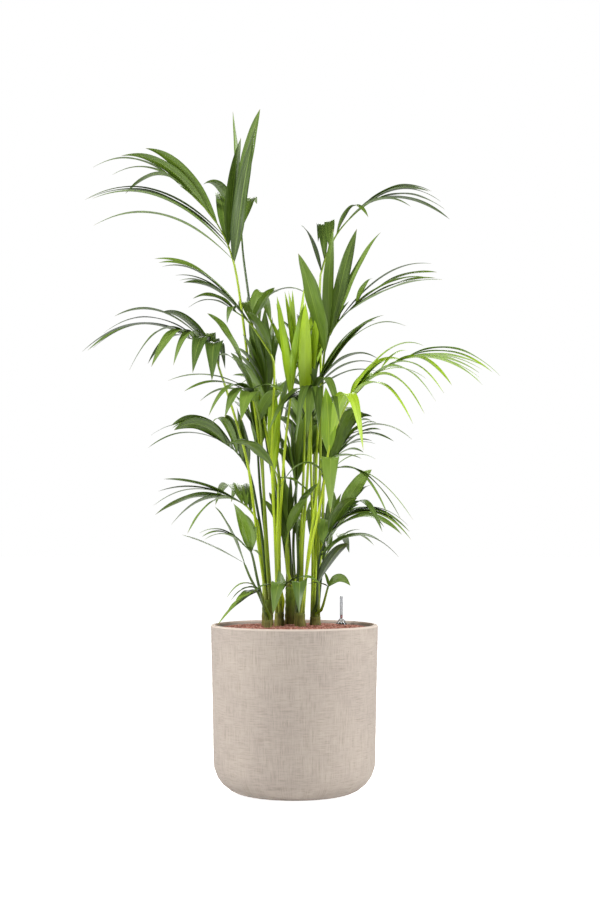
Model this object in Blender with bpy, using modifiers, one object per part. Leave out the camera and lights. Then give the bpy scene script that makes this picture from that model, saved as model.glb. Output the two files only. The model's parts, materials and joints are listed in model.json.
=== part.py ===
"""Potted kentia palm: seven young palms in a round fibre-clay planter, grown in clay granules.

Metres, +Z up. The origin is the centre of the planter's flat underside, on the floor.
The planter holds an inner culture pot with the root ball, clay granules round and over it,
and a water gauge whose float slides up and down in its own tube.
Each palm is a short ringed stem with its fronds standing on top of it. A frond is one piece:
a stalk that runs on as the rachis, and the leaflets that grow from the rachis.
"""

import itertools
import math

import bmesh
import bpy
from mathutils import Matrix, Vector
from mathutils.bvhtree import BVHTree

CM = 0.01

# ---------------------------------------------------------------- driving dimensions

TOUCH_GAP = 0.0003           # between two pieces that rest on or in each other
ROUND_STEPS = 40             # sides of a large turned piece
SMALL_STEPS = 12             # sides of a small turned piece
STEM_STEPS = 10

PLANTER_RIM_R = 0.200
PLANTER_TAPER = 0.007        # how much narrower the wall is where the rounded bottom starts
PLANTER_HEIGHT = 0.398
PLANTER_WALL = 0.0135
PLANTER_BASE = 0.014
PLANTER_CORNER_R = 0.075
LIP_ROUND = 0.004

SOIL_BELOW_RIM = 0.027       # top of the root ball and of the lower granules
GRANULES_BELOW_RIM = 0.011   # top layer, where it meets the wall
GRANULES_DOME = 0.007        # rise of the top layer from the wall to the middle

CULTURE_HEIGHT = 0.190
CULTURE_TAPER = 0.022
CULTURE_WALL = 0.0025
CULTURE_GAUGE_GAP = 0.012    # granules between the culture pot and the gauge tube
SLOT_COUNT = 8
SLOT_WIDTH = 0.006
SLOT_HEIGHT = 0.110

GAUGE_ANGLE = math.radians(44.3)
GAUGE_WALL_GAP = 0.009       # granules between the gauge tube and the planter wall
TUBE_R = 0.0125
TUBE_WALL = 0.0012
TUBE_LIP = 0.0033            # inward lip that carries the float
TUBE_STANDS_PROUD = 0.0015   # above the granules
CAP_FLANGE = 0.0015          # how far the cap's foot reaches past the tube
CAP_RIM = 0.0015             # height of the cap's foot
CAP_CONE_HEIGHT = 0.0132
CAP_NECK_R = 0.006
SIGHT_R = 0.004
SIGHT_WALL = 0.0009
SIGHT_HEIGHT = 0.0575        # from the cone's top to the closed end
NECK_ROUND = 0.001
FLOAT_CLEARANCE = 0.0013
FLOAT_HEIGHT = 0.045
FLOAT_EDGE = 0.0025          # chamfer round the float's ends
FLOAT_TRAVEL = 0.040
FLOAT_HEADROOM = 0.006       # between the red tip at its highest and the sight tube's end
ROD_R = 0.0012
TIP_R = 0.0022
TIP_HEIGHT = 0.007

STALK_FOOT_R = 0.0036
STALK_TOP_R = 0.0026
STALK_TAPER_CURVE = 1.5      # a stalk keeps its thickness low down and loses it near its top
RACHIS_END_R = 0.0013
STALK_FOOT_GAP = 0.0010      # between two stalks on one stem
STALK_STEP = 0.004           # a stalk that would touch another moves aside by this much at a time
STALK_TRIES = 10
STEM_SHOULDER = 0.001        # stem past the outermost stalk
STEM_EDGE = 0.001            # slope round the stem's top
STEM_SWELL = 1.22            # stem radius at the roots, against its top
SCAR_PITCH = 0.016           # leaf scars that ring the stem
SCAR_DEPTH = 0.0009
STATION_PITCH = 0.090        # between two sections of a stalk
RACHIS_PITCH = 0.042

LEAF_RIDGE = 0.0013          # thickness of a leaflet at its midrib
LEAF_BOW = 0.19              # rise of a leaflet's arch, against its horizontal reach
LEAF_CLEARANCE = 0.0012
LEAF_STEP = 0.02             # a leaflet's tip that would touch another moves aside by this much
LEAF_TRIES = 8
LEAF_TURNS = (0, 25, -25, 50, -50)   # and the blade rolls on its midrib, in degrees
BASE_INSET = 0.004           # the last leaflets start this far before the rachis ends

# The frond table is drawn with the soil reference at this height above the floor, in cm.
# The plant rises and sinks with the soil.
TABLE_SOIL = 40.0
TABLE_RIM_TO_SOIL = 0.012

# Where each palm stands: x and y of its foot, and the height of its stem's top, in cm.
PALMS = {
    "palm_1": (-6.5, 1.0, 47.0),
    "palm_2": (-3.6, -1.5, 44.0),
    "palm_3": (-0.8, 4.0, 50.0),
    "palm_4": (1.3, -3.0, 44.0),
    "palm_5": (5.0, 1.0, 43.0),
    "palm_6": (-6.2, -5.0, 42.5),
    "palm_7": (5.0, 6.5, 46.0),
}

# Every frond: its stalk's points, its rachis's points, and its leaflets, in cm.
# A leaflet is (share along the rachis, tip x, tip y, tip z, width[, bow[, roll in degrees]]).
FRONDS = {
    "palm_1_frond_a": dict(
        stalk=((-6.6, 2.5, 60), (-8, 2.4, 80), (-9.5, 2.3, 92), (-11.2, 2.2, 104), (-12.7, 2.1, 116)),
        rachis=((-14.7, 2, 128.5), (-17.5, 1, 136), (-22, 0, 142.5), (-28, -1, 147.5)),
        leaves=(
            (0.02, -9.2, -5, 161.5, 3.8), (0.20, -13, -2, 159.3, 3.0), (0.05, -49, 1, 138.5, 2.2),
            (0.15, -49, -1, 144.5, 2.2), (0.30, -51, 0, 145, 2.2), (0.22, -20, 16, 150, 2.4),
            (0.45, -36, -3.5, 156.5, 2.2, 0.19, 60), (0.60, -41.7, -5, 154, 2.2, 0.19, 50),
            (0.72, -41.5, 1, 146.5, 2.0, 0.30), (0.85, -44, 3, 150, 2.0), (1.0, -49, -1, 152.3, 2.0),
        )),
    "palm_3_frond_a": dict(
        stalk=((-2.5, 6, 60), (-6, 7, 80), (-9, 7, 100), (-11.2, 8, 120)),
        rachis=((-12.8, 9, 132), (-13.4, 11, 140), (-13.8, 14, 148)),
        leaves=(
            (0.20, -22.3, 8, 148.5, 3.0, 0.45), (0.35, -17.2, 10, 149.3, 1.5), (0.45, -10, 30, 150, 2.4),
            (0.65, -15, 33, 152, 2.4), (0.85, -8.6, 7, 168.5, 2.8), (1.0, -15.6, 12, 169.5, 1.3),
        )),
    "palm_5_frond_a": dict(
        stalk=((5.2, 3, 60), (5.3, 4, 80), (6.4, 4, 100), (6.2, 4.5, 115)),
        rachis=((6.4, 5, 126.5), (7.8, 5, 131.5), (10, 5, 136), (14.5, 4, 141.3), (20, 3, 145)),
        leaves=(
            (0.03, 1.6, 2, 138.3, 1.8, 0.35), (0.16, 5.9, 17, 137, 2.0, 0.54), (0.30, 9.3, 18, 137, 2.2, 0.46),
            (0.45, 18, 1, 140, 2.0, 0.56), (0.55, 33.3, 6, 147.8, 1.8), (0.62, 28.3, 0, 142.6, 1.6, 0.22),
            (0.78, 33.5, 2, 146.8, 1.6), (0.90, 36, 5, 144.8, 1.6), (1.0, 38, 3, 140.3, 1.6, 0.12),
        )),
    "palm_5_frond_b": dict(
        stalk=((5.8, 0.5, 60), (6.2, 0, 80), (6.6, -1, 95)),
        rachis=((7.2, -1.5, 106.5), (8.5, -2.5, 111), (11, -3.5, 114.5), (15, -4, 118)),
        leaves=(
            (0.02, 0.9, -7, 130, 4.2), (0.20, 9.3, -6, 136.5, 2.2), (0.40, 20.5, -8, 135, 2.8, 0.19, 50),
            (0.50, 33, -3, 128, 2.0), (0.75, 35.5, -4, 124.2, 2.2, 0.09), (0.90, 32, -6, 124.2, 1.6, 0.13),
            (1.0, 18.5, -10, 123.3, 1.2), (0.55, 13, 14, 127, 2.0), (0.30, 2, 12, 122, 2.4),
        )),
    "palm_2_frond_a": dict(
        stalk=((-3.6, -1, 60), (-2.6, -1, 80)),
        rachis=((-1, -1, 95), (0, -1, 101), (0.6, -0.5, 107)),
        leaves=(
            (0.0, -4.2, -3, 120, 2.7), (0.10, 2.3, -3, 118.5, 2.3), (0.30, 7, -2, 109.5, 1.1),
            (0.30, -6.5, 3, 116.5, 1.5), (0.50, 2.4, 1, 123.5, 1.2), (0.60, -2.4, 2, 122, 1.3),
            (0.80, -0.5, 3, 122.5, 1.0), (0.80, 5.2, 2, 114, 1.6), (1.0, 13, 3, 124, 1.8),
            (1.0, -1.6, 0, 119, 0.9),
        )),
    "palm_1_frond_b": dict(
        stalk=((-8.6, -1, 60), (-11.3, -2, 80), (-14, -3.5, 90), (-16.5, -4.5, 98)),
        rachis=((-18, -5, 102.5), (-18.8, -5.5, 106), (-21.5, -6, 108.6), (-26, -6.5, 109.6)),
        leaves=(
            (0.20, -16.9, 2, 103, 1.4, 0.60), (0.30, -19, -17, 98.5, 3.2, 0.45),
            (0.40, -32, -3, 116.4, 2.4, 0.19, 40), (0.55, -43, -5, 115.3, 1.8), (0.50, -20, 5, 103.5, 1.8, 0.50),
            (0.70, -28, -16, 102, 2.2, 0.40), (0.80, -48, -6, 107.5, 1.6), (0.90, -38.4, -14, 101.3, 2.8, 0.35),
            (1.0, -50, -8, 105.8, 2.2), (0.95, -35.5, 0, 104, 1.4, 0.25),
        )),
    "palm_2_frond_b": dict(
        stalk=((-4.5, -3, 60), (-5.4, -4.5, 80), (-5, -5, 95)),
        rachis=((-5, -5.5, 104), (-8, -6.5, 110), (-12, -8, 114.3), (-15, -9, 116)),
        leaves=(
            (0.10, -11.3, -9, 115.5, 3.4), (0.75, -26.3, -9, 122.5, 2.0), (0.70, -31.5, -6, 127.3, 1.8),
            (0.60, -33.5, -5, 129.2, 1.6), (0.65, -28.2, -8, 124.3, 1.4), (0.90, -23.8, -12, 118.3, 1.8),
            (1.0, -25, -10, 116.4, 1.4), (0.95, -15.8, -12, 112.3, 1.6, 0.60),
        )),
    "palm_3_frond_b": dict(
        stalk=((-1.8, 3.6, 60), (-5.5, 4, 80), (-9, 3.5, 100)),
        rachis=((-10.3, 3, 113), (-10.3, 5, 117), (-9.5, 8, 120.5)),
        leaves=(
            (0.10, -13.8, 15, 118.5, 2.8, 0.53), (0.35, -7.4, 10, 121.3, 2.2, 0.60),
            (0.50, 3.2, 6, 122, 2.0, 0.25), (0.20, -4.8, 0, 122.6, 2.4), (0.70, -3.9, 4, 121.8, 1.0),
            (0.0, -9.9, 6, 98.5, 1.8), (0.90, -12, 24, 118, 2.2), (1.0, -6, 26, 117, 2.2),
        )),
    "palm_1_frond_c": dict(
        stalk=((-6.9, -1.2, 60), (-7.6, -4, 80)),
        rachis=((-8.3, -6, 90), (-9.6, -8, 95.3), (-11.5, -9, 100.5), (-12.4, -10, 103.5)),
        leaves=(
            (0.38, -15, -10, 105.8, 2.6), (0.95, -20.4, -12, 114.8, 3.4), (0.35, -22.3, -8, 94.5, 1.9, 0.20),
            (0.42, -19.8, -16, 90.3, 2.4, 0.35), (0.30, -12.2, -19, 89, 3.2, 0.35),
            (0.50, -30, -6, 99.6, 1.3, 0.115), (0.50, -2.5, -10, 96.3, 1.5), (0.80, -18.3, -4, 105.7, 1.2),
        )),
    "palm_1_frond_d": dict(
        stalk=((-7.6, 3, 60), (-9.6, 2.5, 72)),
        rachis=((-11, 1, 78), (-12.6, 0.5, 81), (-15, 0, 83.6), (-18, -0.5, 85.3)),
        leaves=(
            (0.05, -13.8, -3, 93.5, 2.8), (0.50, -19.6, -6, 89.4, 2.0, 0.45), (0.60, -30, 2, 89.4, 2.6, 0.25, 30),
            (0.85, -28.8, -4, 87.8, 2.6, 0.22, 40), (1.0, -35.2, -1, 84, 1.5, 0.15), (0.95, -35, 4, 87, 1.2),
            (0.30, -16, 14, 84, 2.0, 0.40),
        )),
    "palm_1_frond_e": dict(
        stalk=((-7.5, 1.5, 52), (-8.2, 2, 60)),
        rachis=((-9, 3, 66), (-11, 3, 69), (-13.3, 3, 70.8), (-16, 3, 71.6)),
        leaves=(
            (0.45, -31.8, 3, 76.3, 1.8, 0.08, 15), (0.80, -34.5, 5, 70.2, 1.3, 0.15),
            (1.0, -33.6, 1, 67.7, 1.9, 0.12, 25), (0.90, -25.5, -4, 63, 2.0, 0.25, 20),
            (0.30, -12, 16, 72, 2.0, 0.35), (0.60, -20, 17, 70, 2.0, 0.30),
        )),
    "palm_6_frond_a": dict(
        stalk=((-8.7, -6.5, 52), (-9.6, -7.5, 56.5)),
        rachis=((-10.2, -8, 58.7), (-11.5, -9, 60), (-12.5, -9.5, 60.8)),
        leaves=(
            (0.0, -14.2, -12, 70.3, 4.2), (0.50, -22.2, -10, 63.4, 1.8), (1.0, -20.8, -13, 61.6, 1.4),
            (0.10, -8.8, -10, 64.8, 1.2), (0.10, -7.4, -12, 56.6, 1.2, 0.20),
        )),
    "palm_6_frond_b": dict(
        stalk=((-8.4, -5, 48.5), (-10.6, -5.6, 52.8)),
        rachis=((-11.6, -6, 55.3), (-12.2, -6.3, 56.5)),
        leaves=((0.10, -18.8, -9, 69.5, 3.2), (0.60, -26.5, -7, 62.8, 1.6, 0.03))),
    "palm_6_frond_c": dict(
        stalk=((-7, -6, 46),),
        rachis=((-8, -7, 49.5), (-8.8, -7.5, 50.3)),
        leaves=(
            (0.50, -15.8, -10, 48, 1.6, 0.30), (0.20, -13.7, -12, 47.2, 2.2, 0.10), (0.0, -17.8, -12, 42.1, 1.6, 0.10),
        )),
    "palm_2_frond_c": dict(
        stalk=((-2.6, -3.2, 46.8), (-2.8, -5, 48.2)),
        rachis=((-3, -7, 49.4), (-3, -8, 50)),
        leaves=(
            (0.30, -9.6, -9, 49.3, 1.5, 0.20), (0.10, -4.9, -15, 44.3, 2.6, 0.50), (0.90, 6.3, -11, 51, 1.6, 0.25),
            (0.0, -3.8, -6, 54.5, 2.0),
        )),
    "palm_4_frond_a": dict(
        stalk=((1.2, -6, 46.5),),
        rachis=((1.2, -8, 49.3), (1.2, -9, 50)),
        leaves=((0.50, 1.1, -17, 44.8, 3.2, 0.50), (0.30, -3.5, -11, 51, 1.4), (0.20, 3.8, -9, 53, 1.4))),
    "palm_5_frond_c": dict(
        stalk=((6.4, -1, 44.6),),
        rachis=((8, -3, 50.2), (8.4, -3.3, 50.6)),
        leaves=(
            (0.90, 13.3, -5, 50.6, 1.9, 0.35, 60), (0.50, 7.2, -4, 53.8, 0.8), (0.20, 3, -6, 51, 1.2, 0.10),
        )),
    "palm_5_frond_d": dict(
        stalk=((5.3, -0.6, 46),),
        rachis=((5.5, -1.3, 51), (5.9, -2.5, 57), (7.5, -4, 62), (10.5, -5, 66.5), (14, -6, 69)),
        leaves=(
            (0.0, 12.8, -7, 60.8, 2.8), (0.30, 24.5, -9, 57.5, 2.2, 0.27, 30), (0.50, 25, -12, 63, 2.4, 0.26, 20),
            (0.75, 27.7, -5, 61.8, 2.4, 0.24, 30), (0.85, 27.2, -2, 65, 1.3), (0.60, 14.6, -12, 71.3, 3.0),
            (0.90, 18, -4, 70.9, 1.2), (0.80, 18.6, -1, 78.4, 2.6, 0.19, 40), (0.95, 20.4, -14, 63.4, 1.4, 0.40),
            (0.45, 8, 10, 66, 2.2, 0.30),
        )),
    "palm_4_frond_b": dict(
        stalk=((3.3, -3.9, 58), (4.9, -5.2, 69)),
        rachis=((6.3, -7.5, 77), (9, -10, 78.4), (12, -11.5, 78.6)),
        leaves=(
            (0.30, 27.8, -10, 66.5, 1.4, 0.23), (0.80, 22, -14, 66.5, 2.0, 0.32), (0.50, 8.2, -24, 68, 3.2, 0.45),
            (0.10, 7.6, -17, 73, 1.6, 0.50), (0.10, -4.1, -12, 72.3, 1.8, 0.38), (0.60, 19.2, -8, 80.6, 1.0),
        )),
    "palm_7_frond_a": dict(
        stalk=((6.4, 2.5, 58), (7, 4.5, 70)),
        rachis=((7.5, 6, 80), (9.5, 7, 84), (13, 8, 88)),
        leaves=(
            (0.05, 16.2, 5, 81.1, 1.6, 0.12), (0.20, 20, 8, 85, 1.3, 0.15), (0.50, 28.8, 6, 86.2, 2.2, 0.23),
            (0.90, 18.9, 10, 91, 1.8, 0.20), (0.80, 9, 20, 94, 2.4), (0.40, 3, 16, 90, 2.4),
            (0.60, 14, 22, 88, 2.0, 0.30),
        )),
    "palm_4_frond_c": dict(
        stalk=((3.6, -5.6, 58), (6.6, -6.5, 72)),
        rachis=((8, -7.5, 82), (10.5, -8, 90), (15, -8.5, 97), (20.5, -9, 101.5), (27, -9, 104.8)),
        leaves=(
            (0.0, 7.4, -10, 97.5, 3.4), (0.10, 15.8, -20, 82, 2.8, 0.85), (0.30, 31, -5, 108, 2.2, 0.30),
            (0.40, 27.5, -15, 88.6, 2.2, 0.43), (0.65, 33, -13, 93.8, 2.0, 0.33), (0.85, 37, -11, 98, 1.8, 0.27),
            (1.0, 48.5, -9, 100.7, 2.0, 0.18), (0.95, 44.5, -12, 102.2, 1.6, 0.10),
            (0.90, 44, -6, 101.5, 1.6, 0.12), (0.92, 44.8, -3, 100.1, 1.2, 0.12), (0.80, 43.5, -14, 97.5, 1.3, 0.20),
            (0.70, 31.5, -3, 100.2, 1.2, 0.15), (0.75, 27, -5, 106.6, 1.0), (0.45, 21, -2, 101.5, 2.4, 0.19, 30),
        )),
    "palm_4_frond_d": dict(
        stalk=((1.9, -1.2, 58), (3.2, -0.8, 78)),
        rachis=((4.2, -1, 95.5), (5, -2, 98.5), (6.5, -3, 101)),
        leaves=(
            (0.30, 21.3, -3, 115.6, 2.2, 0.19, 50), (0.60, 17, 0, 113.3, 1.4, 0.20), (0.90, 27, -2, 113.6, 1.4, 0.24),
            (0.40, 20, 3, 105, 1.8, 0.25), (0.20, 20.2, -8, 101.5, 1.2, 0.15), (0.15, 10.6, -12, 88, 2.0, 0.45),
            (0.10, 5.6, -15, 86.5, 2.2, 0.40), (0.05, -3.4, -6, 93, 1.8), (0.05, 0.3, -16, 84, 1.8, 0.45),
            (0.50, 0.5, 4, 118, 2.4), (0.20, -6.3, -9, 86.7, 1.8, 0.35),
        )),
    "palm_3_frond_c": dict(
        stalk=((-0.3, 7.5, 60), (0.3, 10, 72)),
        rachis=((1, 12, 82), (2, 16, 90), (3, 21, 95)),
        leaves=(
            (0.0, 3.5, 9, 93, 3.6), (0.10, -2, 8, 91, 3.0), (0.30, -8, 26, 90, 2.6, 0.25),
            (0.35, 13, 20, 90, 2.4, 0.25), (0.60, -5, 30, 99, 2.4), (0.65, 11, 32, 97, 2.2),
            (1.0, 2, 40, 98, 2.0, 0.25), (0.90, -3, 38, 92, 2.0, 0.30),
        )),
    "palm_2_frond_d": dict(
        stalk=((-4, -3.4, 52), (-4.1, -4.3, 60)),
        rachis=((-3.9, -6, 76), (-5.5, -7, 79.5), (-8, -8, 82.3)),
        leaves=((0.40, -15.7, -12, 84, 2.4, 0.19, 30), (0.90, -14.6, -6, 85, 2.0), (0.0, 4.6, -9, 71, 2.8))),
    "palm_3_frond_d": dict(
        stalk=((-1.2, 6.8, 60), (-2.6, 11, 78)),
        rachis=((-4, 15, 90), (-5.5, 21, 97), (-7, 28, 100)),
        leaves=(
            (0.0, -1, 14, 104, 3.0), (0.10, -13, 14, 98, 3.0), (0.30, -16, 24, 104, 2.4), (0.50, 3, 28, 104, 2.4),
            (0.70, -15, 38, 102, 2.2), (0.75, 0, 40, 100, 2.2), (1.0, -10, 44, 96, 2.0),
        )),
    "palm_7_frond_b": dict(
        stalk=((4.8, 5.5, 58), (4.8, 9.5, 72)),
        rachis=((5, 14, 84), (6.5, 20, 91), (8, 27, 94)),
        leaves=(
            (0.0, 9, 12, 98, 2.8), (0.10, 0, 14, 97, 2.8), (0.30, 15, 20, 92, 2.6), (0.50, -2, 28, 98, 2.4),
            (0.60, 18, 30, 93, 2.4), (0.90, 14, 40, 90, 2.2), (1.0, 6, 44, 90, 2.0),
        )),
    "palm_3_frond_e": dict(
        stalk=((1, 5.4, 54),),
        rachis=((1.2, 9, 61), (1.5, 12, 65), (2.5, 15, 67)),
        leaves=(
            (0.0, 5, 8, 72.5, 3.0), (0.10, -4.5, 8, 68, 2.0), (0.50, -6, 20, 68, 2.6), (0.60, 9, 20, 66, 2.4),
            (1.0, 2, 28, 64, 2.2),
        )),
    "palm_7_frond_c": dict(
        stalk=((6, 6.5, 50),),
        rachis=((7, 7, 56), (9, 10, 60), (11, 14, 62)),
        leaves=((0.20, 16, 8, 64, 2.2), (0.50, 5, 18, 66, 2.4), (0.80, 20, 18, 60, 2.2), (1.0, 14, 26, 58, 2.0))),
    "palm_3_frond_f": dict(
        stalk=((-1.6, 4.8, 60), (-4.2, 3.8, 80)),
        rachis=((-6.6, 2.6, 93), (-7.2, 2.2, 97), (-7.6, 1.6, 100)),
        leaves=(
            (0.0, -15, 1, 105.5, 2.6), (0.30, -7.2, 0, 118, 2.8), (0.50, -3.6, 3, 114, 2.4),
            (0.70, -11, 5, 114.5, 2.6), (1.0, -14, 8, 108, 2.2),
        )),
    "palm_4_frond_e": dict(
        stalk=((1.5, -2.4, 58), (2.2, -2, 78)),
        rachis=((2.6, -1.6, 92), (3, -1.4, 96), (3.4, -1, 99)),
        leaves=(
            (0.0, 2.6, -4, 117.5, 2.6), (0.25, 9.8, -3, 121, 1.8), (0.50, 6.6, 0, 112, 1.6),
            (0.75, -2.2, 3, 112, 2.0), (1.0, 11, 2, 116, 1.6),
        )),
    "palm_4_frond_f": dict(
        stalk=((0.9, -1.4, 56), (0.5, 0.2, 66)),
        rachis=((0.3, 1.4, 73.5), (0.6, 2.2, 76), (1, 3, 78)),
        leaves=(
            (0.0, -2.6, 1, 90, 3.0), (0.20, 1.6, 0, 92, 3.2), (0.50, 6.4, 2, 90.5, 3.0), (0.70, -5, 6, 84, 2.6),
            (0.85, 8, 7, 85, 2.6), (1.0, 3.4, 9, 93, 2.8),
        )),
    "palm_3_frond_g": dict(
        stalk=((-1.7, 2.7, 54),),
        rachis=((-2, 1.6, 60), (-1.5, 1, 63), (-0.9, 0.6, 65)),
        leaves=(
            (0.0, -7.6, 1, 71.5, 2.4), (0.30, -4.8, 0, 75, 2.2), (0.60, 3.4, -1, 72, 3.0), (0.80, 1.2, 0, 78, 2.4),
            (1.0, 6, 3, 75, 2.2), (0.90, -3, 6, 77, 2.2),
        )),
    "palm_7_frond_d": dict(
        stalk=((5.4, 7.2, 56), (6.2, 7.6, 68)),
        rachis=((7.2, 7, 76), (8.4, 6.4, 79), (9.8, 6, 81.5)),
        leaves=(
            (0.0, 11.5, 3, 90, 3.0), (0.25, 14.4, 4, 93, 2.6), (0.45, 3.4, 3, 89, 2.8),
            (0.70, 18.8, 5, 91.5, 2.0, 0.35), (0.90, 17, 7, 83, 1.6, 0.20), (1.0, 21, 9, 88.5, 1.8),
        )),
    "palm_5_frond_e": dict(
        stalk=((4.4, 1.8, 60), (4, 2.6, 80)),
        rachis=((4, 3.2, 93.5), (3.8, 3.6, 99), (4.2, 4.2, 103)),
        leaves=(
            (0.0, -1.6, 3, 117, 2.8), (0.30, 4, 2, 119, 2.8), (0.55, 10, 3, 123, 2.4), (0.75, 13.6, 5, 121, 2.0),
            (1.0, -3.4, 9, 116, 2.2), (0.90, 7, 9, 118, 2.2),
        )),
    "palm_5_frond_f": dict(
        stalk=((6.2, 2.2, 50),),
        rachis=((7, 3.2, 56.5), (8, 4, 60.5), (9.4, 4.6, 63)),
        leaves=(
            (0.0, 3.2, 2, 69.5, 2.6), (0.25, 13.4, 3, 72, 3.0), (0.50, 17.8, 5, 68.5, 2.6, 0.30),
            (0.75, 9.4, 8, 74, 2.4), (1.0, 22, 7, 64.5, 2.0, 0.35),
        )),
    "palm_2_frond_e": dict(
        stalk=((-4.6, -0.6, 60), (-5, 0.4, 70)),
        rachis=((-5, 0.6, 77), (-4.9, 0.7, 80), (-4.8, 0.8, 82)),
        leaves=((0.0, -3.2, -1, 98, 2.0), (0.50, -5.8, 1, 97, 1.6), (1.0, -4.4, 1, 101, 1.3))),
    "palm_1_frond_f": dict(
        stalk=((-6.9, 3.9, 60), (-8.4, 4.4, 74)),
        rachis=((-9, 4.4, 83), (-9.4, 4.3, 87), (-9.6, 4.2, 90)),
        leaves=(
            (0.0, -7, 3, 98, 2.4), (0.35, -13, 4, 98, 2.6), (0.60, -5, 4, 100, 2.4), (0.80, -16.5, 9, 96, 2.2),
            (1.0, -11, 4.6, 106, 2.6), (0.90, -3.4, 3.6, 97, 2.2),
        )),
}

# Fronds that have just opened are a fresh yellow-green.
YOUNG_FRONDS = ("palm_2_frond_a", "palm_4_frond_c", "palm_4_frond_e", "palm_2_frond_e")

# ---------------------------------------------------------------- sizes that follow

inner_rim_r = PLANTER_RIM_R - PLANTER_WALL
inner_foot_r = inner_rim_r - PLANTER_TAPER
inner_corner_r = PLANTER_CORNER_R - PLANTER_WALL
soil_z = PLANTER_HEIGHT - SOIL_BELOW_RIM
granule_edge_z = PLANTER_HEIGHT - GRANULES_BELOW_RIM
gauge_foot_z = PLANTER_CORNER_R
gauge_axis_r = inner_foot_r + PLANTER_TAPER * 0.5 - GAUGE_WALL_GAP - TUBE_R
gauge_x = gauge_axis_r * math.cos(GAUGE_ANGLE)
gauge_y = gauge_axis_r * math.sin(GAUGE_ANGLE)
culture_top_r = gauge_axis_r - TUBE_R - CULTURE_GAUGE_GAP
culture_foot_r = culture_top_r - CULTURE_TAPER
culture_foot_z = soil_z - CULTURE_HEIGHT
plant_lift = PLANTER_HEIGHT - TABLE_RIM_TO_SOIL - TABLE_SOIL * CM


def planter_outer_r(z):
    """Radius of the planter's outer wall at height z, above its rounded bottom."""
    share = (z - PLANTER_CORNER_R) / (PLANTER_HEIGHT - PLANTER_CORNER_R)
    return PLANTER_RIM_R - PLANTER_TAPER * (1 - share)


def culture_outer_r(z):
    """Radius of the culture pot's outer wall at height z."""
    return culture_foot_r + CULTURE_TAPER * (z - culture_foot_z) / CULTURE_HEIGHT


def granule_top_z(r):
    """Height of the granules' domed surface at radius r."""
    return granule_edge_z + GRANULES_DOME * (1 - (r / inner_rim_r) ** 2)


tube_top_z = granule_top_z(gauge_axis_r) + TUBE_STANDS_PROUD


# ---------------------------------------------------------------- scene and materials

def clear_scene():
    for obj in list(bpy.data.objects):
        bpy.data.objects.remove(obj, do_unlink=True)


def new_collection(name):
    collection = bpy.data.collections.new(name)
    bpy.context.scene.collection.children.link(collection)
    return collection


def material(name, colour, roughness, metallic=0.0, transmission=0.0):
    mat = bpy.data.materials.new(name)
    mat.use_nodes = True
    shader = mat.node_tree.nodes["Principled BSDF"]
    shader.inputs["Base Color"].default_value = (*colour, 1.0)
    shader.inputs["Roughness"].default_value = roughness
    shader.inputs["Metallic"].default_value = metallic
    shader.inputs["Transmission Weight"].default_value = transmission
    return mat


clear_scene()
PARTS = new_collection("potted_palm")
CUTTERS = new_collection("cutters")

CLAY = material("planter_clay", (0.56, 0.50, 0.42), 0.85)
GRANULE = material("clay_granules", (0.30, 0.14, 0.09), 0.90)
CULTURE = material("culture_pot_plastic", (0.03, 0.03, 0.03), 0.60)
ROOTS = material("root_ball", (0.15, 0.09, 0.05), 0.95)
CLEAR = material("gauge_clear", (0.90, 0.94, 0.92), 0.10, transmission=0.9)
TUBE = material("gauge_tube_plastic", (0.55, 0.56, 0.55), 0.45)
SIGNAL = material("gauge_float_red", (0.65, 0.05, 0.03), 0.50)
STEM = material("palm_stem", (0.24, 0.19, 0.09), 0.75)
LEAF = material("palm_leaf", (0.10, 0.17, 0.07), 0.50)
YOUNG_LEAF = material("palm_leaf_young", (0.27, 0.38, 0.08), 0.50)


def add_object(name, mesh, mat, collection=PARTS):
    obj = bpy.data.objects.new(name, mesh)
    collection.objects.link(obj)
    mesh.materials.append(mat)
    return obj


def hide_cutter(obj):
    obj.hide_render = True
    obj.display_type = "WIRE"


def evaluated_mesh(obj):
    """A new mesh with the object's modifiers applied."""
    bpy.context.view_layer.update()
    return bpy.data.meshes.new_from_object(obj.evaluated_get(bpy.context.evaluated_depsgraph_get()))


# ---------------------------------------------------------------- turned pieces

def arc(centre_r, centre_z, radius, start, end, steps):
    """Profile points on an arc. Angles are in degrees, 0 outward and 90 up."""
    points = []
    for i in range(steps + 1):
        angle = math.radians(start + (end - start) * i / steps)
        points.append((centre_r + radius * math.cos(angle), centre_z + radius * math.sin(angle)))
    return points


def turned(name, profile, mat, steps, closed=False, centre=(0.0, 0.0)):
    """Turn a profile of (radius, height) points about the vertical axis at centre.

    The profile runs down the outer side. An open one starts and ends on the axis.
    A closed one is a ring section, and its last point joins its first.
    """
    mesh = bpy.data.meshes.new(name)
    count = len(profile)
    edges = [(i, i + 1) for i in range(count - 1)]
    if closed:
        edges.append((count - 1, 0))
    mesh.from_pydata([(r, 0.0, z) for r, z in profile], edges, [])
    obj = add_object(name, mesh, mat)
    obj.location = (centre[0], centre[1], 0.0)
    screw = obj.modifiers.new("turn", "SCREW")
    screw.steps = steps
    screw.render_steps = steps
    screw.use_merge_vertices = True
    screw.merge_threshold = 0.00001
    screw.use_smooth_shade = True
    return obj


def cut(obj, cutter):
    boolean = obj.modifiers.new("cut_" + cutter.name, "BOOLEAN")
    boolean.operation = "DIFFERENCE"
    boolean.object = cutter
    hide_cutter(cutter)


def cylinder_cutter(name, x, y, radius, z_low, z_high, sides):
    bpy.ops.mesh.primitive_cylinder_add(
        vertices=sides, radius=radius, depth=z_high - z_low, location=(x, y, (z_low + z_high) / 2))
    obj = bpy.context.object
    obj.name = name
    for collection in list(obj.users_collection):
        collection.objects.unlink(obj)
    CUTTERS.objects.link(obj)
    return obj


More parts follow.
